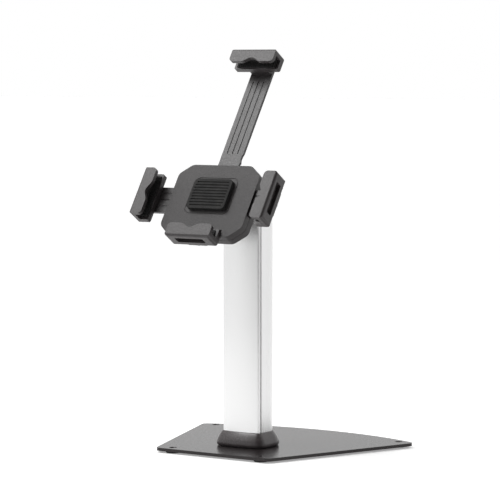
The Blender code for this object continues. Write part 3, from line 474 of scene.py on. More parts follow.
def carved(mesh, cuts=(), joins=(), keep=None):
    """A mesh with others joined to it, then cut from it, then trimmed to one more."""
    helper = bpy.data.objects.new("helper", mesh)
    SCRATCH.objects.link(helper)
    tools = []
    jobs = [(tool, "UNION") for tool in joins] + [(tool, "DIFFERENCE") for tool in cuts]
    if keep:
        jobs.append((keep, "INTERSECT"))
    for tool_mesh, operation in jobs:
        tool = bpy.data.objects.new("tool", tool_mesh)
        SCRATCH.objects.link(tool)
        tools.append(tool)
        step = helper.modifiers.new("step", "BOOLEAN")
        step.object = tool
        step.operation = operation
        step.solver = "EXACT"
    graph = bpy.context.evaluated_depsgraph_get()
    result = bpy.data.meshes.new_from_object(helper.evaluated_get(graph))
    for used in (*tools, helper):
        bpy.data.objects.remove(used, do_unlink=True)
    return result


def tidied(mesh, width, segments, angle=30.0):
    """Flat faces merged, and every edge sharper than the angle rounded."""
    work = bmesh.new()
    work.from_mesh(mesh)
    bmesh.ops.remove_doubles(work, verts=work.verts, dist=0.003 * MM)
    bmesh.ops.dissolve_limit(work, angle_limit=radians(0.5), verts=work.verts, edges=work.edges)
    work.to_mesh(mesh)
    work.free()
    if width <= 0.0:
        return mesh
    helper = bpy.data.objects.new("helper", mesh)
    SCRATCH.objects.link(helper)
    bevel = helper.modifiers.new("edges", "BEVEL")
    bevel.width = width
    bevel.segments = segments
    bevel.limit_method = "ANGLE"
    bevel.angle_limit = radians(angle)
    bevel.use_clamp_overlap = True
    bevel.miter_outer = "MITER_ARC"
    graph = bpy.context.evaluated_depsgraph_get()
    result = bpy.data.meshes.new_from_object(helper.evaluated_get(graph))
    bpy.data.objects.remove(helper, do_unlink=True)
    return result


def piece(name, mesh, body, look, nodes, place=STAND, bevel=0.3 * MM, segments=3, angle=30.0):
    """A fine piece that stands for one CAD node or more and rides on a body. The mesh is in its own place."""
    mesh = tidied(mesh, bevel, segments, angle)
    mesh.transform(place)
    mesh.materials.clear()
    mesh.materials.append(LOOKS[look])
    mesh.shade_smooth()
    mesh.set_sharp_from_angle(angle=radians(38))
    obj = bpy.data.objects.new(name, mesh)
    bpy.context.scene.collection.objects.link(obj)
    weighted = obj.modifiers.new("normals", "WEIGHTED_NORMAL")
    weighted.keep_sharp = True
    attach(obj, body)
    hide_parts(*nodes)
    return obj


def at(x, y, z=0.0, base=STAND):
    return base @ Matrix.Translation((x, y, z))


# Base


def base_plate():
    rise = PLATE_BACK - PLATE_BACK_CORNER
    radius = (PLATE_BACK_HALF_WIDTH**2 + rise**2) / (2 * rise)
    half_angle = asin(PLATE_BACK_HALF_WIDTH / radius)
    back = arc((0.0, PLATE_BACK - radius), radius, pi / 2 - half_angle, pi / 2 + half_angle, 16)
    corners = [
        (-PLATE_FRONT_HALF_WIDTH, PLATE_FRONT, PLATE_CORNER_RADIUS),
        (PLATE_FRONT_HALF_WIDTH, PLATE_FRONT, PLATE_CORNER_RADIUS),
        (*back[0], PLATE_CORNER_RADIUS),
        *((x, y, 0.0) for x, y in back[1:-1]),
        (*back[-1], PLATE_CORNER_RADIUS),
    ]
    places = [(side * x, y) for x, y in (FRONT_HOLE, BACK_HOLE) for side in (-1, 1)]
    holes = [circle(HOLE_RADIUS, place, 40) for place in places]
    holes += [circle(PORT_RADIUS + 0.4 * MM, port, 24) for port in PORTS]
    plate = extruded(rounded(corners, 16), PLATE_BOTTOM, PLATE_TOP, holes)
    wide, narrow = HOLE_RADIUS + 2.2 * MM, HOLE_RADIUS - 0.4 * MM
    over, depth = 0.3 * MM, 2.6 * MM
    cone = [(0.0, over), (wide, over), (wide, 0.0), (narrow, -depth), (0.0, -depth)]
    sinks = []
    for x, y in places:
        sink = lathe(cone, 40)
        sink.transform(Matrix.Translation((x, y, PLATE_TOP)))
        sinks.append(sink)
    piece("base_plate_fine", carved(plate, sinks), "stand", "powder_coat", ["base_plate"], bevel=0.45 * MM)


def feet():
    inner = HOLE_RADIUS + 0.6 * MM
    profile = [
        (inner, 0.0),
        (FOOT_RADIUS - 0.7 * MM, 0.0),
        (FOOT_RADIUS, 0.6 * MM),
        (FOOT_RADIUS, FOOT_HEIGHT),
        (inner, FOOT_HEIGHT),
    ]
    places = {
        "front_left": (-FRONT_HOLE[0], FRONT_HOLE[1]),
        "front_right": FRONT_HOLE,
        "rear_left": (-BACK_HOLE[0], BACK_HOLE[1]),
        "rear_right": BACK_HOLE,
    }
    for name, (x, y) in places.items():
        mesh = lathe(profile, 56, closed=True)
        piece(f"foot_{name}_fine", mesh, "stand", "rubber", [f"foot_{name}"], at(x, y), 0.15 * MM, 2)


# Screws


def screw_mesh(length, radius, head_radius, head_height, steps=40):
    """A screw along Z, its domed head up from z = 0, with a hexagon socket and the look of a thread."""
    crown = head_height * 0.45
    profile = [(0.0, head_height)]
    for k in range(1, 6):
        angle = k * pi / 10
        profile.append((head_radius - crown + crown * sin(angle), head_height - crown + crown * cos(angle)))
    profile += [(head_radius, 0.0), (radius, 0.0)]
    pitch = 0.9 * MM
    turns = max(1, int((length - 1.5 * MM) / pitch))
    for k in range(turns):
        top = -0.6 * MM - k * pitch
        profile += [(radius, top), (radius - 0.22 * MM, top - pitch * 0.45), (radius, top - pitch * 0.9)]
    profile += [(radius - 0.3 * MM, -length), (0.0, -length)]
    head = lathe(profile, steps)
    socket = extruded(hexagon(head_radius * 0.5), head_height * 0.42, head_height + MM)
    return carved(head, [socket])


def screws(prefix, mesh, places, body, base, flip, z):
    for number, (x, y) in enumerate(places, 1):
        copy = mesh.copy()
        if flip:
            copy.transform(TURNED_OVER)
        name = prefix if len(places) == 1 else f"{prefix}_{number}"
        piece(f"{name}_fine", copy, body, "zinc", [name], at(x, y, z, base), 0.0)


def base_screws():
    mesh = screw_mesh(18.0 * MM, PORT_RADIUS - PORT_PLAY, 3.6 * MM, 1.4 * MM)
    screws("base_screw", mesh, PORTS, "stand", STAND, True, PLATE_BOTTOM - GAP)


def head_screws():
    mesh = screw_mesh(16.0 * MM, PORT_RADIUS - PORT_PLAY, 3.4 * MM, 2.2 * MM)
    screws("head_screw", mesh, PORTS, "stand", STAND, False, HEAD_FLOOR + HEAD_PLATE + GAP)


def disc_screws():
    mesh = screw_mesh(4.0 * MM, 1.3 * MM, 2.7 * MM, 1.1 * MM)
    screws("disc_screw", mesh, DISC_SCREWS, "holder", HOLDER, True, -TURN_DISC[1] + DISC_SCREW_SINK - GAP)


def shell_screws():
    mesh = screw_mesh(11.0 * MM, 1.15 * MM, 2.9 * MM, 1.8 * MM)
    screws("shell_screw", mesh, BOSSES, "holder", HOLDER, True, -SHELL_BACK + SHELL_SCREW_SINK - GAP)


# Column


def column_outline(grow=0.0, steps=12):
    """The column's section seen from above: a bowed front, small front corners and a wide round rear."""
    chord = COLUMN_HALF_WIDTH - COLUMN_CORNER
    reach = (chord * chord + FRONT_BULGE * FRONT_BULGE) / (2 * FRONT_BULGE)
    sweep = atan2(chord, reach - FRONT_BULGE)
    middle = (0.0, COLUMN_FRONT + reach - FRONT_BULGE)
    radius = COLUMN_CORNER + grow
    bend = (COLUMN_HALF_WIDTH - COLUMN_REAR_RADIUS, COLUMN_BACK - COLUMN_REAR_RADIUS)
    rear = COLUMN_REAR_RADIUS + grow
    outline = arc(middle, reach + radius, -pi / 2 - sweep, -pi / 2 + sweep, 40)[1:-1]
    outline += arc((chord, COLUMN_FRONT), radius, -pi / 2 + sweep, 0.0, steps)
    outline += arc(bend, rear, 0.0, pi / 2, 2 * steps)
    outline += arc((-bend[0], bend[1]), rear, pi / 2, pi, 2 * steps)
    outline += arc((-chord, COLUMN_FRONT), radius, pi, 3 * pi / 2 - sweep, steps)
    return outline


def column_profile():
    """The structural extrusion: open inside, with a block round each screw port and a lap for the cover."""
    half = COLUMN_HALF_WIDTH
    shoulder = half - COVER_LAP
    front = COLUMN_FRONT + SEAM_WIDTH
    corners = [
        (-shoulder, front, 0.0),
        (shoulder, front, 0.0),
        (shoulder, front + COVER_LAP, 0.0),
        (half, front + COVER_LAP, 0.0),
        (half, COLUMN_BACK, COLUMN_REAR_RADIUS),
        (-half, COLUMN_BACK, COLUMN_REAR_RADIUS),
        (-half, front + COVER_LAP, 0.0),
        (-shoulder, front + COVER_LAP, 0.0),
    ]
    inner = shoulder - COLUMN_WALL
    wall = front + COLUMN_WALL
    near, far = PORT_X - PORT_BLOCK, PORT_X + PORT_BLOCK
    low, high = PORT_Y - PORT_BLOCK, PORT_Y + PORT_BLOCK
    bend = (half - COLUMN_REAR_RADIUS, COLUMN_BACK - COLUMN_REAR_RADIUS)
    reach = COLUMN_REAR_RADIUS - COLUMN_WALL
    right = [(near, wall), (near, -low), (far, -low), (far, wall), (inner, wall), (inner, low)]
    right += [(near, low), (near, high)]
    right += arc(bend, reach, asin((high - bend[1]) / reach), pi / 2, 24)
    cavity = right + [(-x, y) for x, y in right[::-1]]
    holes = [cavity] + [circle(PORT_RADIUS, port, 32) for port in PORTS]
    mesh = extruded(rounded(corners, 32), PLATE_TOP + GAP, COLUMN_TOP, holes)
    piece("column_profile_fine", mesh, "stand", "anodised_body", ["column_profile"], STAND, 0.25 * MM, 2)


def column_front_cover():
    """The bowed front of the column, as thick as the walls, held between the collar and the cap."""
    chord = COLUMN_HALF_WIDTH - COLUMN_CORNER
    inside = COLUMN_HALF_WIDTH - COLUMN_WALL
    outer = sorted(point for point in column_outline() if point[1] <= COLUMN_FRONT + 0.001 * MM)
    inner = [
        (x * inside / COLUMN_HALF_WIDTH, y + COLUMN_WALL * (1.0 if abs(x) < chord else 0.6))
        for x, y in outer
        if y < COLUMN_FRONT - COLUMN_WALL
    ]
    outline = outer + [(inside, COLUMN_FRONT)] + inner[::-1] + [(-inside, COLUMN_FRONT)]
    mesh = extruded(outline, PLATE_TOP + GAP, COLUMN_TOP)
    piece("column_front_cover_fine", mesh, "stand", "anodised", ["column_front_cover"], STAND, 0.2 * MM, 2)


def collar():
    """The flared foot cover, from its tucked-in lower edge over a round flank to its thin upper rim.

    Each point of the section is how far it lies outside the column and above the lower edge, in millimetres.
    """
    low = PLATE_TOP + GAP
    high = PLATE_TOP + COLLAR_HEIGHT
    section = [
        (6.4, 0.0),
        (7.5, 0.9),
        (8.05, 2.2),
        (8.2, 3.8),
        (8.0, 5.6),
        (7.5, 7.8),
        (6.6, 9.6),
        (5.6, 11.5),
        (4.5, 13.4),
        (3.4, 15.0),
        (2.6, 16.1),
        (2.1, 16.8),
        (1.7, 17.2),
        (1.4, 17.5),
        (1.1, 17.65),
        (0.75, 17.65),
        (0.55, 17.3),
    ]
    levels = [(grow * MM, low + rise * MM) for grow, rise in section]
    levels += [(GAP, high - 1.0 * MM), (GAP, low)]
    rings = [[(x, y, z) for x, y in column_outline(grow)] for grow, z in levels]
    piece("column_collar_fine", loft(rings), "stand", "collar_plastic", ["column_collar"], bevel=0.0)


def column_cap():
    low = COLUMN_TOP + GAP
    holes = [circle(PORT_RADIUS + 0.4 * MM, port, 24) for port in PORTS]
    mesh = extruded(column_outline(0.4 * MM), low, low + CAP_THICKNESS, holes)
    piece("column_cap_fine", mesh, "stand", "black_plastic", ["column_cap"], bevel=0.7 * MM)


# Head


def ear_outline(pin_y, pin_z, foot, floor, back):
    """From the side, (y, z): a foot on the floor that narrows to a round end about the pin."""
    outline = []
    for point, side in (((foot, floor), 1), ((back, floor), -1)):
        away = Vector(point) - Vector((pin_y, pin_z))
        lean = acos(EAR_RADIUS / away.length)
        angle = atan2(away.y, away.x) - side * lean
        outline.append(angle % (2 * pi))
    start, end = outline[1], outline[0]
    if end < start:
        end += 2 * pi
    return [(foot, floor), (back, floor)] + arc((pin_y, pin_z), EAR_RADIUS, start, end, 40)


def head_bracket():
    half = OUTER_EAR[1]
    depth = 10.5 * MM
    holes = [circle(PORT_RADIUS + 0.3 * MM, port, 24) for port in PORTS]
    plate = extruded(rectangle(half, depth, 0.5 * MM, steps=2), HEAD_FLOOR, HEAD_FLOOR + HEAD_PLATE, holes)
    outline = ear_outline(pin_place.y, pin_place.z, -depth, HEAD_FLOOR, depth)
    bore = circle(PIN_RADIUS + PIN_PLAY, (pin_place.y, pin_place.z), 40)
    ears = []
    for side in (-1, 1):
        low, high = sorted((side * OUTER_EAR[0], side * OUTER_EAR[1]))
        ears.append(extruded(outline, low, high, [bore], on_x=True))
    mesh = carved(plate, joins=ears)
    piece("head_bracket_fine", mesh, "stand", "black_steel", ["head_bracket"], bevel=0.4 * MM, segments=2)


def tilt_pin():
    reach = OUTER_EAR[1]
    radius = PIN_RADIUS
    profile = [
        (0.0, reach + GAP + 4.0 * MM),
        (5.6 * MM, reach + GAP + 4.0 * MM),
        (6.3 * MM, reach + GAP + 3.8 * MM),
        (6.8 * MM, reach + GAP + 3.3 * MM),
        (7.0 * MM, reach + GAP + 2.7 * MM),
        (7.0 * MM, reach + GAP),
        (radius, reach + GAP),
    ]
    thread = -reach - 1.0 * MM
    profile.append((radius, thread))
    for k in range(6):
        top = thread - k * 1.0 * MM
        profile += [(radius - 0.35 * MM, top - 0.5 * MM), (radius, top - 1.0 * MM)]
    profile += [(radius - 0.6 * MM, -reach - 7.2 * MM), (0.0, -reach - 7.2 * MM)]
    bolt = lathe(profile, 56, on_x=True)
    socket = extruded(hexagon(2.9 * MM), reach + GAP + 1.6 * MM, reach + 6.0 * MM, on_x=True)
    place = STAND @ Matrix.Translation(pin_place)
    piece("tilt_bolt_fine", carved(bolt, [socket]), "stand", "zinc", ["tilt_bolt"], place, 0.12 * MM, 2, 40.0)
    nut_height = 5.6 * MM
    nut = nut_mesh(7.4 * MM, nut_height, radius + PIN_PLAY)
    nut.transform(Matrix.Translation((-reach - GAP - nut_height, 0.0, 0.0)) @ ON_X)
    piece("tilt_nut_fine", nut, "stand", "zinc", ["tilt_nut"], place, 0.1 * MM, 2, 40.0)
    for name, side in (("left", -1), ("right", 1)):
        low, high = sorted((side * (INNER_EAR[1] + GAP), side * (OUTER_EAR[0] - GAP)))
        inner, outer = radius + PIN_PLAY, 8.0 * MM
        washer = lathe([(inner, high), (outer, high), (outer, low), (inner, low)], 56, closed=True, on_x=True)
        washer_name = f"friction_washer_{name}"
        piece(f"{washer_name}_fine", washer, "stand", "gear_plastic", [washer_name], place, 0.15 * MM, 2)


def nut_mesh(radius, height, bore):
    """A hexagon nut from z = 0 up, its corners turned down at both ends."""
    cone = lathe(
        [
            (0.0, height),
            (radius * 0.9, height),
            (radius * 1.02, height - radius * 0.07),
            (radius * 1.02, radius * 0.07),
            (radius * 0.9, 0.0),
            (0.0, 0.0),
        ],
        60,
    )
    cone.transform(Matrix.Rotation(radians(1.3), 4, "Z"))
    return carved(extruded(hexagon(radius), 0.0, height, [circle(bore, steps=40)]), keep=cone)


def tilt_bracket():
    low = PIN_BACK - TILT_PLATE[1]
    high = PIN_BACK - TILT_PLATE[0]
    corners = [
        (-19.0 * MM, -PIN_UP - 24.0 * MM, 9.0 * MM),
        (19.0 * MM, -PIN_UP - 24.0 * MM, 9.0 * MM),
        (24.0 * MM, -PIN_UP + 6.0 * MM, 12.0 * MM),
        (INNER_EAR[1], -14.0 * MM, 6.0 * MM),
        (INNER_EAR[1], 9.0 * MM, 1.0 * MM),
        (-INNER_EAR[1], 9.0 * MM, 1.0 * MM),
        (-INNER_EAR[1], -14.0 * MM, 6.0 * MM),
        (-24.0 * MM, -PIN_UP + 6.0 * MM, 12.0 * MM),
    ]
    plate = extruded(rounded(corners, 10), low, high, [circle(4.1 * MM, (0.0, -PIN_UP), 40)])
    ear = [(-12.0 * MM, high)] + arc((0.0, 0.0), EAR_RADIUS, -0.85 * pi, 0.0, 32) + [(EAR_RADIUS, high)]
    bore = circle(PIN_RADIUS + PIN_PLAY, steps=40)
    ears = []
    for side in (-1, 1):
        ends = sorted((side * INNER_EAR[0], side * INNER_EAR[1]))
        ears.append(extruded(ear, *ends, [bore], on_x=True))
    mesh = carved(plate, joins=ears)
    piece("tilt_bracket_fine", mesh, "tilt_head", "black_steel", ["tilt_bracket"], PIN, 0.4 * MM, 2)


def turn_bolt():
    head = -TURN_DISC[0] - 0.2 * MM
    end = -TILT_PLATE[1] - 9.0 * MM
    profile = [
        (0.0, head),
        (6.5 * MM, head),
        (6.5 * MM, head - 1.5 * MM),
        (4.0 * MM, head - 1.5 * MM),
        (4.0 * MM, -TILT_PLATE[1]),
    ]
    for k in range(8):
        top = -TILT_PLATE[1] - k * 1.0 * MM
        profile += [(3.65 * MM, top - 0.5 * MM), (4.0 * MM, top - 1.0 * MM)]
    profile += [(3.5 * MM, end), (0.0, end)]
    piece("turn_bolt_fine", lathe(profile, 56), "tilt_head", "zinc", ["turn_bolt"], HOLDER, 0.1 * MM, 2, 50.0)
    nut = nut_mesh(7.2 * MM, 5.3 * MM, 4.1 * MM)
    nut_place = HOLDER @ Matrix.Translation((0.0, 0.0, -TILT_PLATE[1] - 7.4 * MM))
    piece("turn_nut_fine", nut, "tilt_head", "zinc", ["turn_nut"], nut_place, 0.1 * MM, 2, 40.0)
    low = -TILT_PLATE[1] - 1.8 * MM
    high = -TILT_PLATE[1] - GAP
    inner, outer, thick = 4.1 * MM, 8.5 * MM, 0.4 * MM
    washer = lathe([(inner, low + thick), (inner, low), (outer, high - thick), (outer, high)], 56, True)
    piece("spring_washer_fine", washer, "tilt_head", "zinc", ["spring_washer"], HOLDER, 0.08 * MM, 2)


# Holder


def shell_outline(inset=0.0):
    half_w = SHELL_HALF_WIDTH - inset
    half_h = SHELL_HALF_HEIGHT - inset
    cut_x = SHELL_CORNER[0] - 0.5 * inset
    cut_y = SHELL_CORNER[1] - 0.5 * inset
    corners = []
    for sx, sy in ((1, -1), (1, 1), (-1, 1), (-1, -1)):
        pair = [
            (sx * (half_w - cut_x), sy * half_h, 12.0 * MM),
            (sx * half_w, sy * (half_h - cut_y), 9.0 * MM),
        ]
        corners += pair if sx * sy < 0 else pair[::-1]
    return rounded(corners, 12)


def front_shell():
    low, high = -SHELL_SPLIT, -SHELL_FRONT
    reach = SHELL_HALF_WIDTH + 5.0 * MM
    pocket = JAW_LENGTH / 2 + GAP + 0.2 * MM
    floor_end = TABLET_BOTTOM + 10.0 * MM + GAP + 0.5 * MM
    slot_end = -SHELL_HALF_HEIGHT + 12.0 * MM
    groove = extruded(
        rectangle(31.5 * MM, 24.5 * MM, 8.0 * MM, (0.0, PAD_MIDDLE)),
        high - 0.5 * MM,
        high + MM,
        [rectangle(30.5 * MM, 23.5 * MM, 7.0 * MM, (0.0, PAD_MIDDLE))],
    )
    cuts = [
        extruded(shell_outline(SHELL_WALL), low - MM, high - SHELL_WALL),
        box((-reach, -SIDE_SLOT, low - MM), (reach, SIDE_SLOT, -SIDE_ARM[0] + GAP)),
        box((-pocket, -reach, -JAW_BACK - GAP), (pocket, floor_end, high + MM)),
        box((-TOP_SLOT, -reach, low - MM), (TOP_SLOT, slot_end, -BOTTOM_ARM[0] + GAP)),
        groove,
    ]
    mesh = carved(extruded(shell_outline(), low, high), cuts)
    piece("front_shell_fine", mesh, "holder", "black_plastic", ["front_shell"], HOLDER, 0.8 * MM, 4, 50.0)


def rear_shell():
    low, high = -SHELL_BACK, -SHELL_SPLIT - GAP
    reach = SHELL_HALF_WIDTH + 5.0 * MM
    openings = [
        extruded(shell_outline(SHELL_WALL), low + SHELL_WALL, high + MM),
        box((-reach, -SIDE_SLOT, -RACK[1] - GAP), (reach, SIDE_SLOT, high + MM)),
        box((-TOP_SLOT, 0.0, -TOP_ARM[1] - GAP), (TOP_SLOT, reach, high + MM)),
        extruded(circle(6.1 * MM, (LOCK_X, LOCK_Y), 48), low - MM, low + SHELL_WALL + MM),
    ]
    bosses = [extruded(circle(4.6 * MM, boss, 40), low + SHELL_WALL / 2, high) for boss in BOSSES]
    holes = [extruded(circle(3.4 * MM, boss, 40), low - MM, low + SHELL_SCREW_SINK) for boss in BOSSES]
    holes += [extruded(circle(1.8 * MM, boss, 32), low - MM, high + MM) for boss in BOSSES]
    holes += [extruded(circle(1.4 * MM, place, 24), low - MM, low + SHELL_WALL + MM) for place in DISC_SCREWS]
    shell = carved(extruded(shell_outline(), low, high), openings)
    mesh = carved(shell, holes, bosses)
    piece("rear_shell_fine", mesh, "holder", "black_plastic", ["rear_shell"], HOLDER, 0.8 * MM, 4, 50.0)


def turn_disc():
    low, high = -TURN_DISC[1], -TURN_DISC[0]
    holes = [circle(4.1 * MM, steps=40)] + [circle(1.8 * MM, place, 24) for place in DISC_SCREWS]
    plate = extruded(circle(DISC_RADIUS, steps=96), low, high, holes)
    cuts = [extruded(circle(7.0 * MM, steps=40), high - 1.9 * MM, high + MM)]
    cuts += [extruded(circle(3.2 * MM, place, 32), low - MM, low + DISC_SCREW_SINK) for place in DISC_SCREWS]
    piece("turn_disc_fine", carved(plate, cuts), "holder", "black_steel", ["turn_disc"], HOLDER, 0.3 * MM, 2)


def rest_pad():
    """The rubber pad, with a raised rim and crosswise ribs."""
    low, high = -SHELL_FRONT + GAP, -PAD_FRONT
    pitch = 3.9 * MM
    outline = rectangle(27.0 * MM, 20.0 * MM, 5.0 * MM, (0.0, PAD_MIDDLE), 12)
    grooves = []
    for k in range(-4, 5):
        reach = 24.0 * MM if abs(k) < 4 else 22.5 * MM
        groove = rectangle(reach, 0.85 * MM, 0.84 * MM, (0.0, PAD_MIDDLE + k * pitch), 6)
        grooves.append(extruded(groove, high - 1.0 * MM, high + MM))
    mesh = carved(extruded(outline, low, high), grooves)
    piece("rest_pad_fine", mesh, "holder", "rubber", ["rest_pad"], HOLDER, 0.3 * MM, 3)


# Jaws, with X along the jaw, Y outward from the tablet's edge and Z to the front


def lip_edge(x):
    """How far inward the lip reaches at x: two lobes with a hollow between them, and rounded ends."""
    reach = JAW_OVERLAP
    if abs(x) < NOTCH_HALF_WIDTH:
        reach -= NOTCH_DEPTH * (0.5 + 0.5 * cos(pi * x / NOTCH_HALF_WIDTH))
    corner = 5.0 * MM
    inset = JAW_LENGTH / 2 - abs(x)
    if inset < corner:
        reach -= corner - sqrt(max(0.0, corner * corner - (corner - inset) ** 2))
    return -reach


def jaw_mesh():
    section = [
        (-JAW_OVERLAP - MM, JAW_FRONT, 0.0),
        (-JAW_OVERLAP - MM, LIP_BACK, 0.0),
        (JAW_WALL, LIP_BACK, 0.0),
        (JAW_WALL, -JAW_FLOOR, 0.0),
        (-JAW_FLOOR_REACH - MM, -JAW_FLOOR, 0.0),
        (-JAW_FLOOR_REACH - MM, -JAW_BACK, 0.0),
        (JAW_OUTSIDE, -JAW_BACK, 2.0 * MM),
        (JAW_OUTSIDE, JAW_FRONT, 3.2 * MM),
    ]
    half = JAW_LENGTH / 2
    body = extruded(rounded(section, 10), -half - MM, half + MM, on_x=True)
    plan = rounded(
        [
            (-half, -JAW_FLOOR_REACH, 2.0 * MM),
            (half, -JAW_FLOOR_REACH, 2.0 * MM),
            (half, JAW_OUTSIDE, 3.5 * MM),
            (-half, JAW_OUTSIDE, 3.5 * MM),
        ],
        10,
    )
    steps = 72
    xs = [half * sin(pi / 2 * (2 * i / steps - 1)) for i in range(steps + 1)]
    edge = [(x, lip_edge(x)) for x in xs]
    start = (-half - 3.0 * MM, edge[0][1])
    end = (half + 3.0 * MM, edge[-1][1])
    below = -JAW_OVERLAP - 4.0 * MM
    trim = [(start[0], below), (end[0], below), end] + edge[::-1] + [start]
    recess = rectangle(20.0 * MM, 4.6 * MM, 1.5 * MM, (0.0, -4.6 * MM), 6)
    hollow = extruded(recess, JAW_OUTSIDE - 4.5 * MM, JAW_OUTSIDE + 2.0 * MM)
    hollow.transform(Matrix(((1, 0, 0, 0), (0, 0, 1, 0), (0, 1, 0, 0), (0, 0, 0, 1))))
    hollow.flip_normals()
    cuts = [
        extruded(trim, LIP_BACK - 4.0 * MM, JAW_FRONT + MM),
        hollow,
        extruded(circle(1.5 * MM, (0.0, JAW_SCREW), 24), -JAW_BACK - MM, -10.8 * MM),
    ]
    shape = carved(body, keep=extruded(plan, -JAW_BACK - MM, JAW_FRONT + MM))
    return carved(shape, cuts)


def liner_mesh():
    """The rubber liner, ribbed along the tablet's back."""
    section = [
        (TABLET_CLEARANCE, -LIP_BACK + 1.5 * MM),
        (TABLET_CLEARANCE, -PAD_FRONT),
        (-8.0 * MM, -PAD_FRONT),
        (-8.0 * MM, -JAW_FLOOR + GAP),
        (JAW_WALL - GAP, -JAW_FLOOR + GAP),
        (JAW_WALL - GAP, -LIP_BACK + 1.5 * MM),
    ]
    half = JAW_LENGTH / 2 - 4.0 * MM
    mesh = extruded(section, -half, half, on_x=True)
    cuts = []
    half_groove = 0.5 * MM
    for k in range(-8, 9):
        x = k * 3.0 * MM
        low = (x - half_groove, -9.0 * MM, -PAD_FRONT - half_groove)
        cuts.append(box(low, (x + half_groove, -0.6 * MM, -PAD_FRONT + MM)))
    return carved(mesh, cuts)


SIDES = {
    "right": (-pi / 2, (TABLET_HALF_WIDTH + TABLET_CLEARANCE, 0.0), SIDE_ARM[1], "right_slider"),
    "top": (0.0, (0.0, TABLET_TOP + TABLET_CLEARANCE), TOP_ARM[1], "top_slider"),
    "left": (pi / 2, (-TABLET_HALF_WIDTH - TABLET_CLEARANCE, 0.0), SIDE_ARM[1], "left_slider"),
    "bottom": (pi, (0.0, TABLET_BOTTOM - TABLET_CLEARANCE), BOTTOM_ARM[1], "holder"),
}


def jaws():
    jaw = jaw_mesh()
    liner = liner_mesh()
    for side, (turn, (x, y), arm_back, body) in SIDES.items():
        place = HOLDER @ Matrix.Translation((x, y, 0.0)) @ Matrix.Rotation(turn, 4, "Z")
        piece(f"{side}_jaw_fine", jaw.copy(), body, "jaw_plastic", [f"{side}_jaw"], place, 0.9 * MM, 4, 35.0)
        piece(f"{side}_liner_fine", liner.copy(), body, "rubber", [f"{side}_liner"], place, 0.15 * MM, 2)
        outward = Matrix.Rotation(turn, 2) @ Vector((0.0, JAW_SCREW))
        screw = screw_mesh(arm_back - 11.5 * MM, 1.3 * MM, 2.6 * MM, 1.5 * MM)
        spot = [(x + outward.x, y + outward.y)]
        screws(f"{side}_jaw_screw", screw, spot, body, HOLDER, True, -arm_back - GAP)


# Arms and lock


def top_arm():
    low, high = -TOP_ARM[1], -TOP_ARM[0]
    width = TOP_ARM_HALF_WIDTH
    start = 4.0 * MM
    end = TABLET_TOP + TABLET_CLEARANCE + 6.0 * MM
    corners = [
        (-width, start, 1.0 * MM),
        (width, start, 1.0 * MM),
        (width, end, 3.0 * MM),
        (-width, end, 3.0 * MM),
    ]
    block = extruded(rectangle(width, 7.5 * MM, 3.0 * MM, (0.0, end - 7.5 * MM)), low + MM, -SIDE_ARM[0])
    hole = extruded(circle(1.8 * MM, (0.0, TABLET_TOP + TABLET_CLEARANCE + JAW_SCREW), 24), low - MM, 0.0)
    cuts = [hole]
    for stop in LOCK_STOPS:
        scallop = circle(LOCK_REACH + GAP, (LOCK_X, LOCK_Y + stop * LOCK_STEP), 120)
        cuts.append(extruded(scallop, low - MM, high + MM))
    for x in (-7.5 * MM, 0.0, 7.5 * MM):
        slot = rectangle(1.2 * MM, 51.0 * MM, 1.19 * MM, (x, 121.0 * MM))
        cuts.append(extruded(slot, high - 0.7 * MM, high + MM))
    mesh = carved(extruded(rounded(corners, 8), low, high), cuts, [block])
    piece("top_arm_fine", mesh, "top_slider", "arm_plastic", ["top_arm"], HOLDER, 0.35 * MM, 3, 35.0)


def bottom_arm():
    low, high = -BOTTOM_ARM[1], -BOTTOM_ARM[0]
    width = TOP_ARM_HALF_WIDTH
    end = TABLET_BOTTOM - TABLET_CLEARANCE - 6.0 * MM
    inner = -19.0 * MM
    corners = [
        (-width, end, 3.0 * MM),
        (width, end, 3.0 * MM),
        (width, inner, 1.0 * MM),
        (-width, inner, 1.0 * MM),
    ]
    hole = circle(1.8 * MM, (0.0, TABLET_BOTTOM - TABLET_CLEARANCE - JAW_SCREW), 24)
    mesh = extruded(rounded(corners, 8), low, high, [hole])
    piece("bottom_arm_fine", mesh, "holder", "arm_plastic", ["bottom_arm"], HOLDER, 0.35 * MM, 3)


def lock():
    place = HOLDER @ Matrix.Translation((LOCK_X, LOCK_Y, 0.0))
    outside = -SHELL_BACK - GAP
    bore = 3.6 * MM
    profile = [
        (bore, -TOP_ARM[1] - GAP),
        (5.8 * MM, -TOP_ARM[1] - GAP),
        (5.8 * MM, outside),
        (8.0 * MM, outside),
        (8.0 * MM, outside - 1.0 * MM),
        (7.4 * MM, outside - 1.6 * MM),
        (bore, outside - 1.6 * MM),
    ]
    barrel = lathe(profile, 72, closed=True)
    piece("lock_barrel_fine", barrel, "holder", "nickel", ["lock_barrel"], place, 0.2 * MM, 3)
    end = outside - 2.0 * MM
    core = extruded(circle(bore - 0.08 * MM, steps=48), end, -TOP_ARM[1])
    tail = extruded(rectangle(1.5 * MM, 1.5 * MM, 0.0), -TOP_ARM[1] - MM, -TOP_ARM[0] + 0.2 * MM)
    slot_low, slot_high = end - MM, outside + 2.0 * MM
    slot = extruded(rectangle(0.5 * MM, 2.6 * MM, 0.3 * MM), slot_low, slot_high)
    ward = extruded(rectangle(0.9 * MM, 0.45 * MM, 0.2 * MM, (0.3 * MM, 1.1 * MM)), slot_low, slot_high)
    core = carved(core, [slot, ward], [tail])
    piece("lock_core_fine", core, "lock_plug", "nickel", ["lock_core"], place, 0.12 * MM, 2)


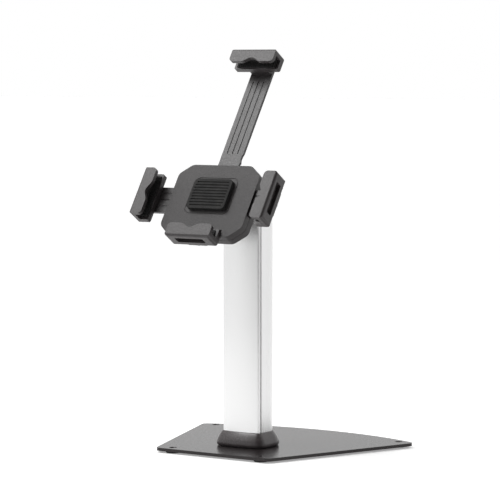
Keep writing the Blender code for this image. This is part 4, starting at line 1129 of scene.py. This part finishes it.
base_plate()
feet()
base_screws()
column_profile()
column_front_cover()
collar()
column_cap()
head_bracket()
head_screws()
tilt_pin()
tilt_bracket()
turn_bolt()
front_shell()
rear_shell()
turn_disc()
disc_screws()
shell_screws()
rest_pad()
jaws()
top_arm()
bottom_arm()
lock()
bpy.data.collections.remove(SCRATCH)

# The CAD nodes that stay as they are

for node, look in {
    "left_arm": "arm_plastic",
    "right_arm": "arm_plastic",
    "pinion": "gear_plastic",
    "lock_cam": "zinc",
    "friction_ring": "gear_plastic",
}.items():
    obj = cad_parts[node]
    obj.data.materials.clear()
    obj.data.materials.append(LOOKS[look])
    edges = obj.modifiers.new("edges", "BEVEL")
    edges.width = 0.25 * MM
    edges.segments = 2
    edges.limit_method = "ANGLE"
    edges.angle_limit = radians(40)

# Floor, light and camera

# Painted shade: the floor is painted pale grey from FADE_START to FADE_REACH metres ahead, towards FADE_SIDE
# right of the front, and glows less there, standing for the room's dark end
FADE_SIDE = radians(50.0)
FADE_START = 0.46
FADE_REACH = 1.9
FADE_LEVEL = 0.5

# The room's dark end, right of the front and above the horizon; the rest of the room is white
DARK_SIDE = radians(42.0)
DARK_RISE = radians(25.0)
DARK_LEVEL = 0.03
DARK_FROM = 0.52
DARK_FULL = 0.8

CAMERA_PLACE = (1.7423, -2.5848, 0.4593)
CAMERA_AZIMUTH = radians(34.108)
CAMERA_PITCH = radians(4.03)
CAMERA_LENS = 187.2
CAMERA_SHIFT = (-0.001, 0.001)


def floor():
    """A wide pale sheet with a little light of its own, as a lit studio table has."""
    work = bmesh.new()
    bmesh.ops.create_grid(work, x_segments=4, y_segments=4, size=30.0)
    mesh = bpy.data.meshes.new("floor")
    work.to_mesh(mesh)
    work.free()
    look = Look("floor_sheet", Roughness=0.9, Specular_IOR_Level=0.0, Emission_Strength=0.32)
    cloud = look.ramp(look.noise(3.0, 2.0), 0.3, 0.7, grey(0.93), grey(0.95))
    ahead = look.tree.nodes.new("ShaderNodeVectorMath")
    ahead.operation = "DOT_PRODUCT"
    ahead.inputs[1].default_value = (sin(FADE_SIDE) / FADE_REACH, -cos(FADE_SIDE) / FADE_REACH, 0.0)
    look.link(look.place, ahead.inputs[0])
    # Painted shade: the sheet's colour and glow turn grey ahead, towards the room's dark end
    painted_shade = look.ramp(ahead.outputs["Value"], FADE_START / FADE_REACH, 1.0, grey(1.0), grey(FADE_LEVEL))
    look.colour(look.mixed(1.0, cloud, painted_shade, "MULTIPLY"))
    look.link(painted_shade, look.shader.inputs["Emission Color"])
    mesh.materials.append(look.material)
    obj = bpy.data.objects.new("floor_sheet", mesh)
    bpy.context.scene.collection.objects.link(obj)


def area_light(name, place, aim, size, power):
    data = bpy.data.lights.new(name, "AREA")
    data.shape = "SQUARE"
    data.size = size
    data.energy = power
    obj = bpy.data.objects.new(name, data)
    obj.location = place
    direction = Vector(aim) - Vector(place)
    obj.rotation_euler = direction.to_track_quat("-Z", "Y").to_euler()
    bpy.context.scene.collection.objects.link(obj)


def studio(tree):
    """White all round, and darker in front, where the dark end of the room is."""
    background = tree.nodes["Background"]
    background.inputs["Strength"].default_value = 1.0
    place = tree.nodes.new("ShaderNodeTexCoord")
    side = tree.nodes.new("ShaderNodeVectorMath")
    side.operation = "DOT_PRODUCT"
    flat = cos(DARK_RISE)
    side.inputs[1].default_value = (sin(DARK_SIDE) * flat, -cos(DARK_SIDE) * flat, sin(DARK_RISE))
    ramp = tree.nodes.new("ShaderNodeValToRGB")
    first, last = ramp.color_ramp.elements
    first.position, first.color = DARK_FROM, (1.0, 1.0, 1.0, 1.0)
    last.position, last.color = DARK_FULL, (*grey(DARK_LEVEL), 1.0)
    tree.links.new(place.outputs["Generated"], side.inputs[0])
    tree.links.new(side.outputs["Value"], ramp.inputs["Fac"])
    tree.links.new(ramp.outputs["Color"], background.inputs["Color"])


floor()
world = bpy.data.worlds.new("studio")
world.use_nodes = True
studio(world.node_tree)
bpy.context.scene.world = world
area_light("key", (-0.75, -0.75, 1.35), (0.0, -0.05, 0.25), 0.9, 3.3)
area_light("top", (-0.5, -0.36, 1.15), (0.0, -0.02, 0.47), 0.5, 5.2)

camera_data = bpy.data.cameras.new("camera")
camera_data.sensor_width = 36.0
camera_data.lens = CAMERA_LENS
camera_data.shift_x, camera_data.shift_y = CAMERA_SHIFT
camera = bpy.data.objects.new("camera", camera_data)
camera.location = CAMERA_PLACE
level = cos(CAMERA_PITCH)
forward = Vector((-sin(CAMERA_AZIMUTH) * level, cos(CAMERA_AZIMUTH) * level, -sin(CAMERA_PITCH)))
camera.rotation_euler = forward.to_track_quat("-Z", "Y").to_euler()
bpy.context.scene.collection.objects.link(camera)
bpy.context.scene.camera = camera
bpy.context.scene.view_settings.view_transform = "Standard"
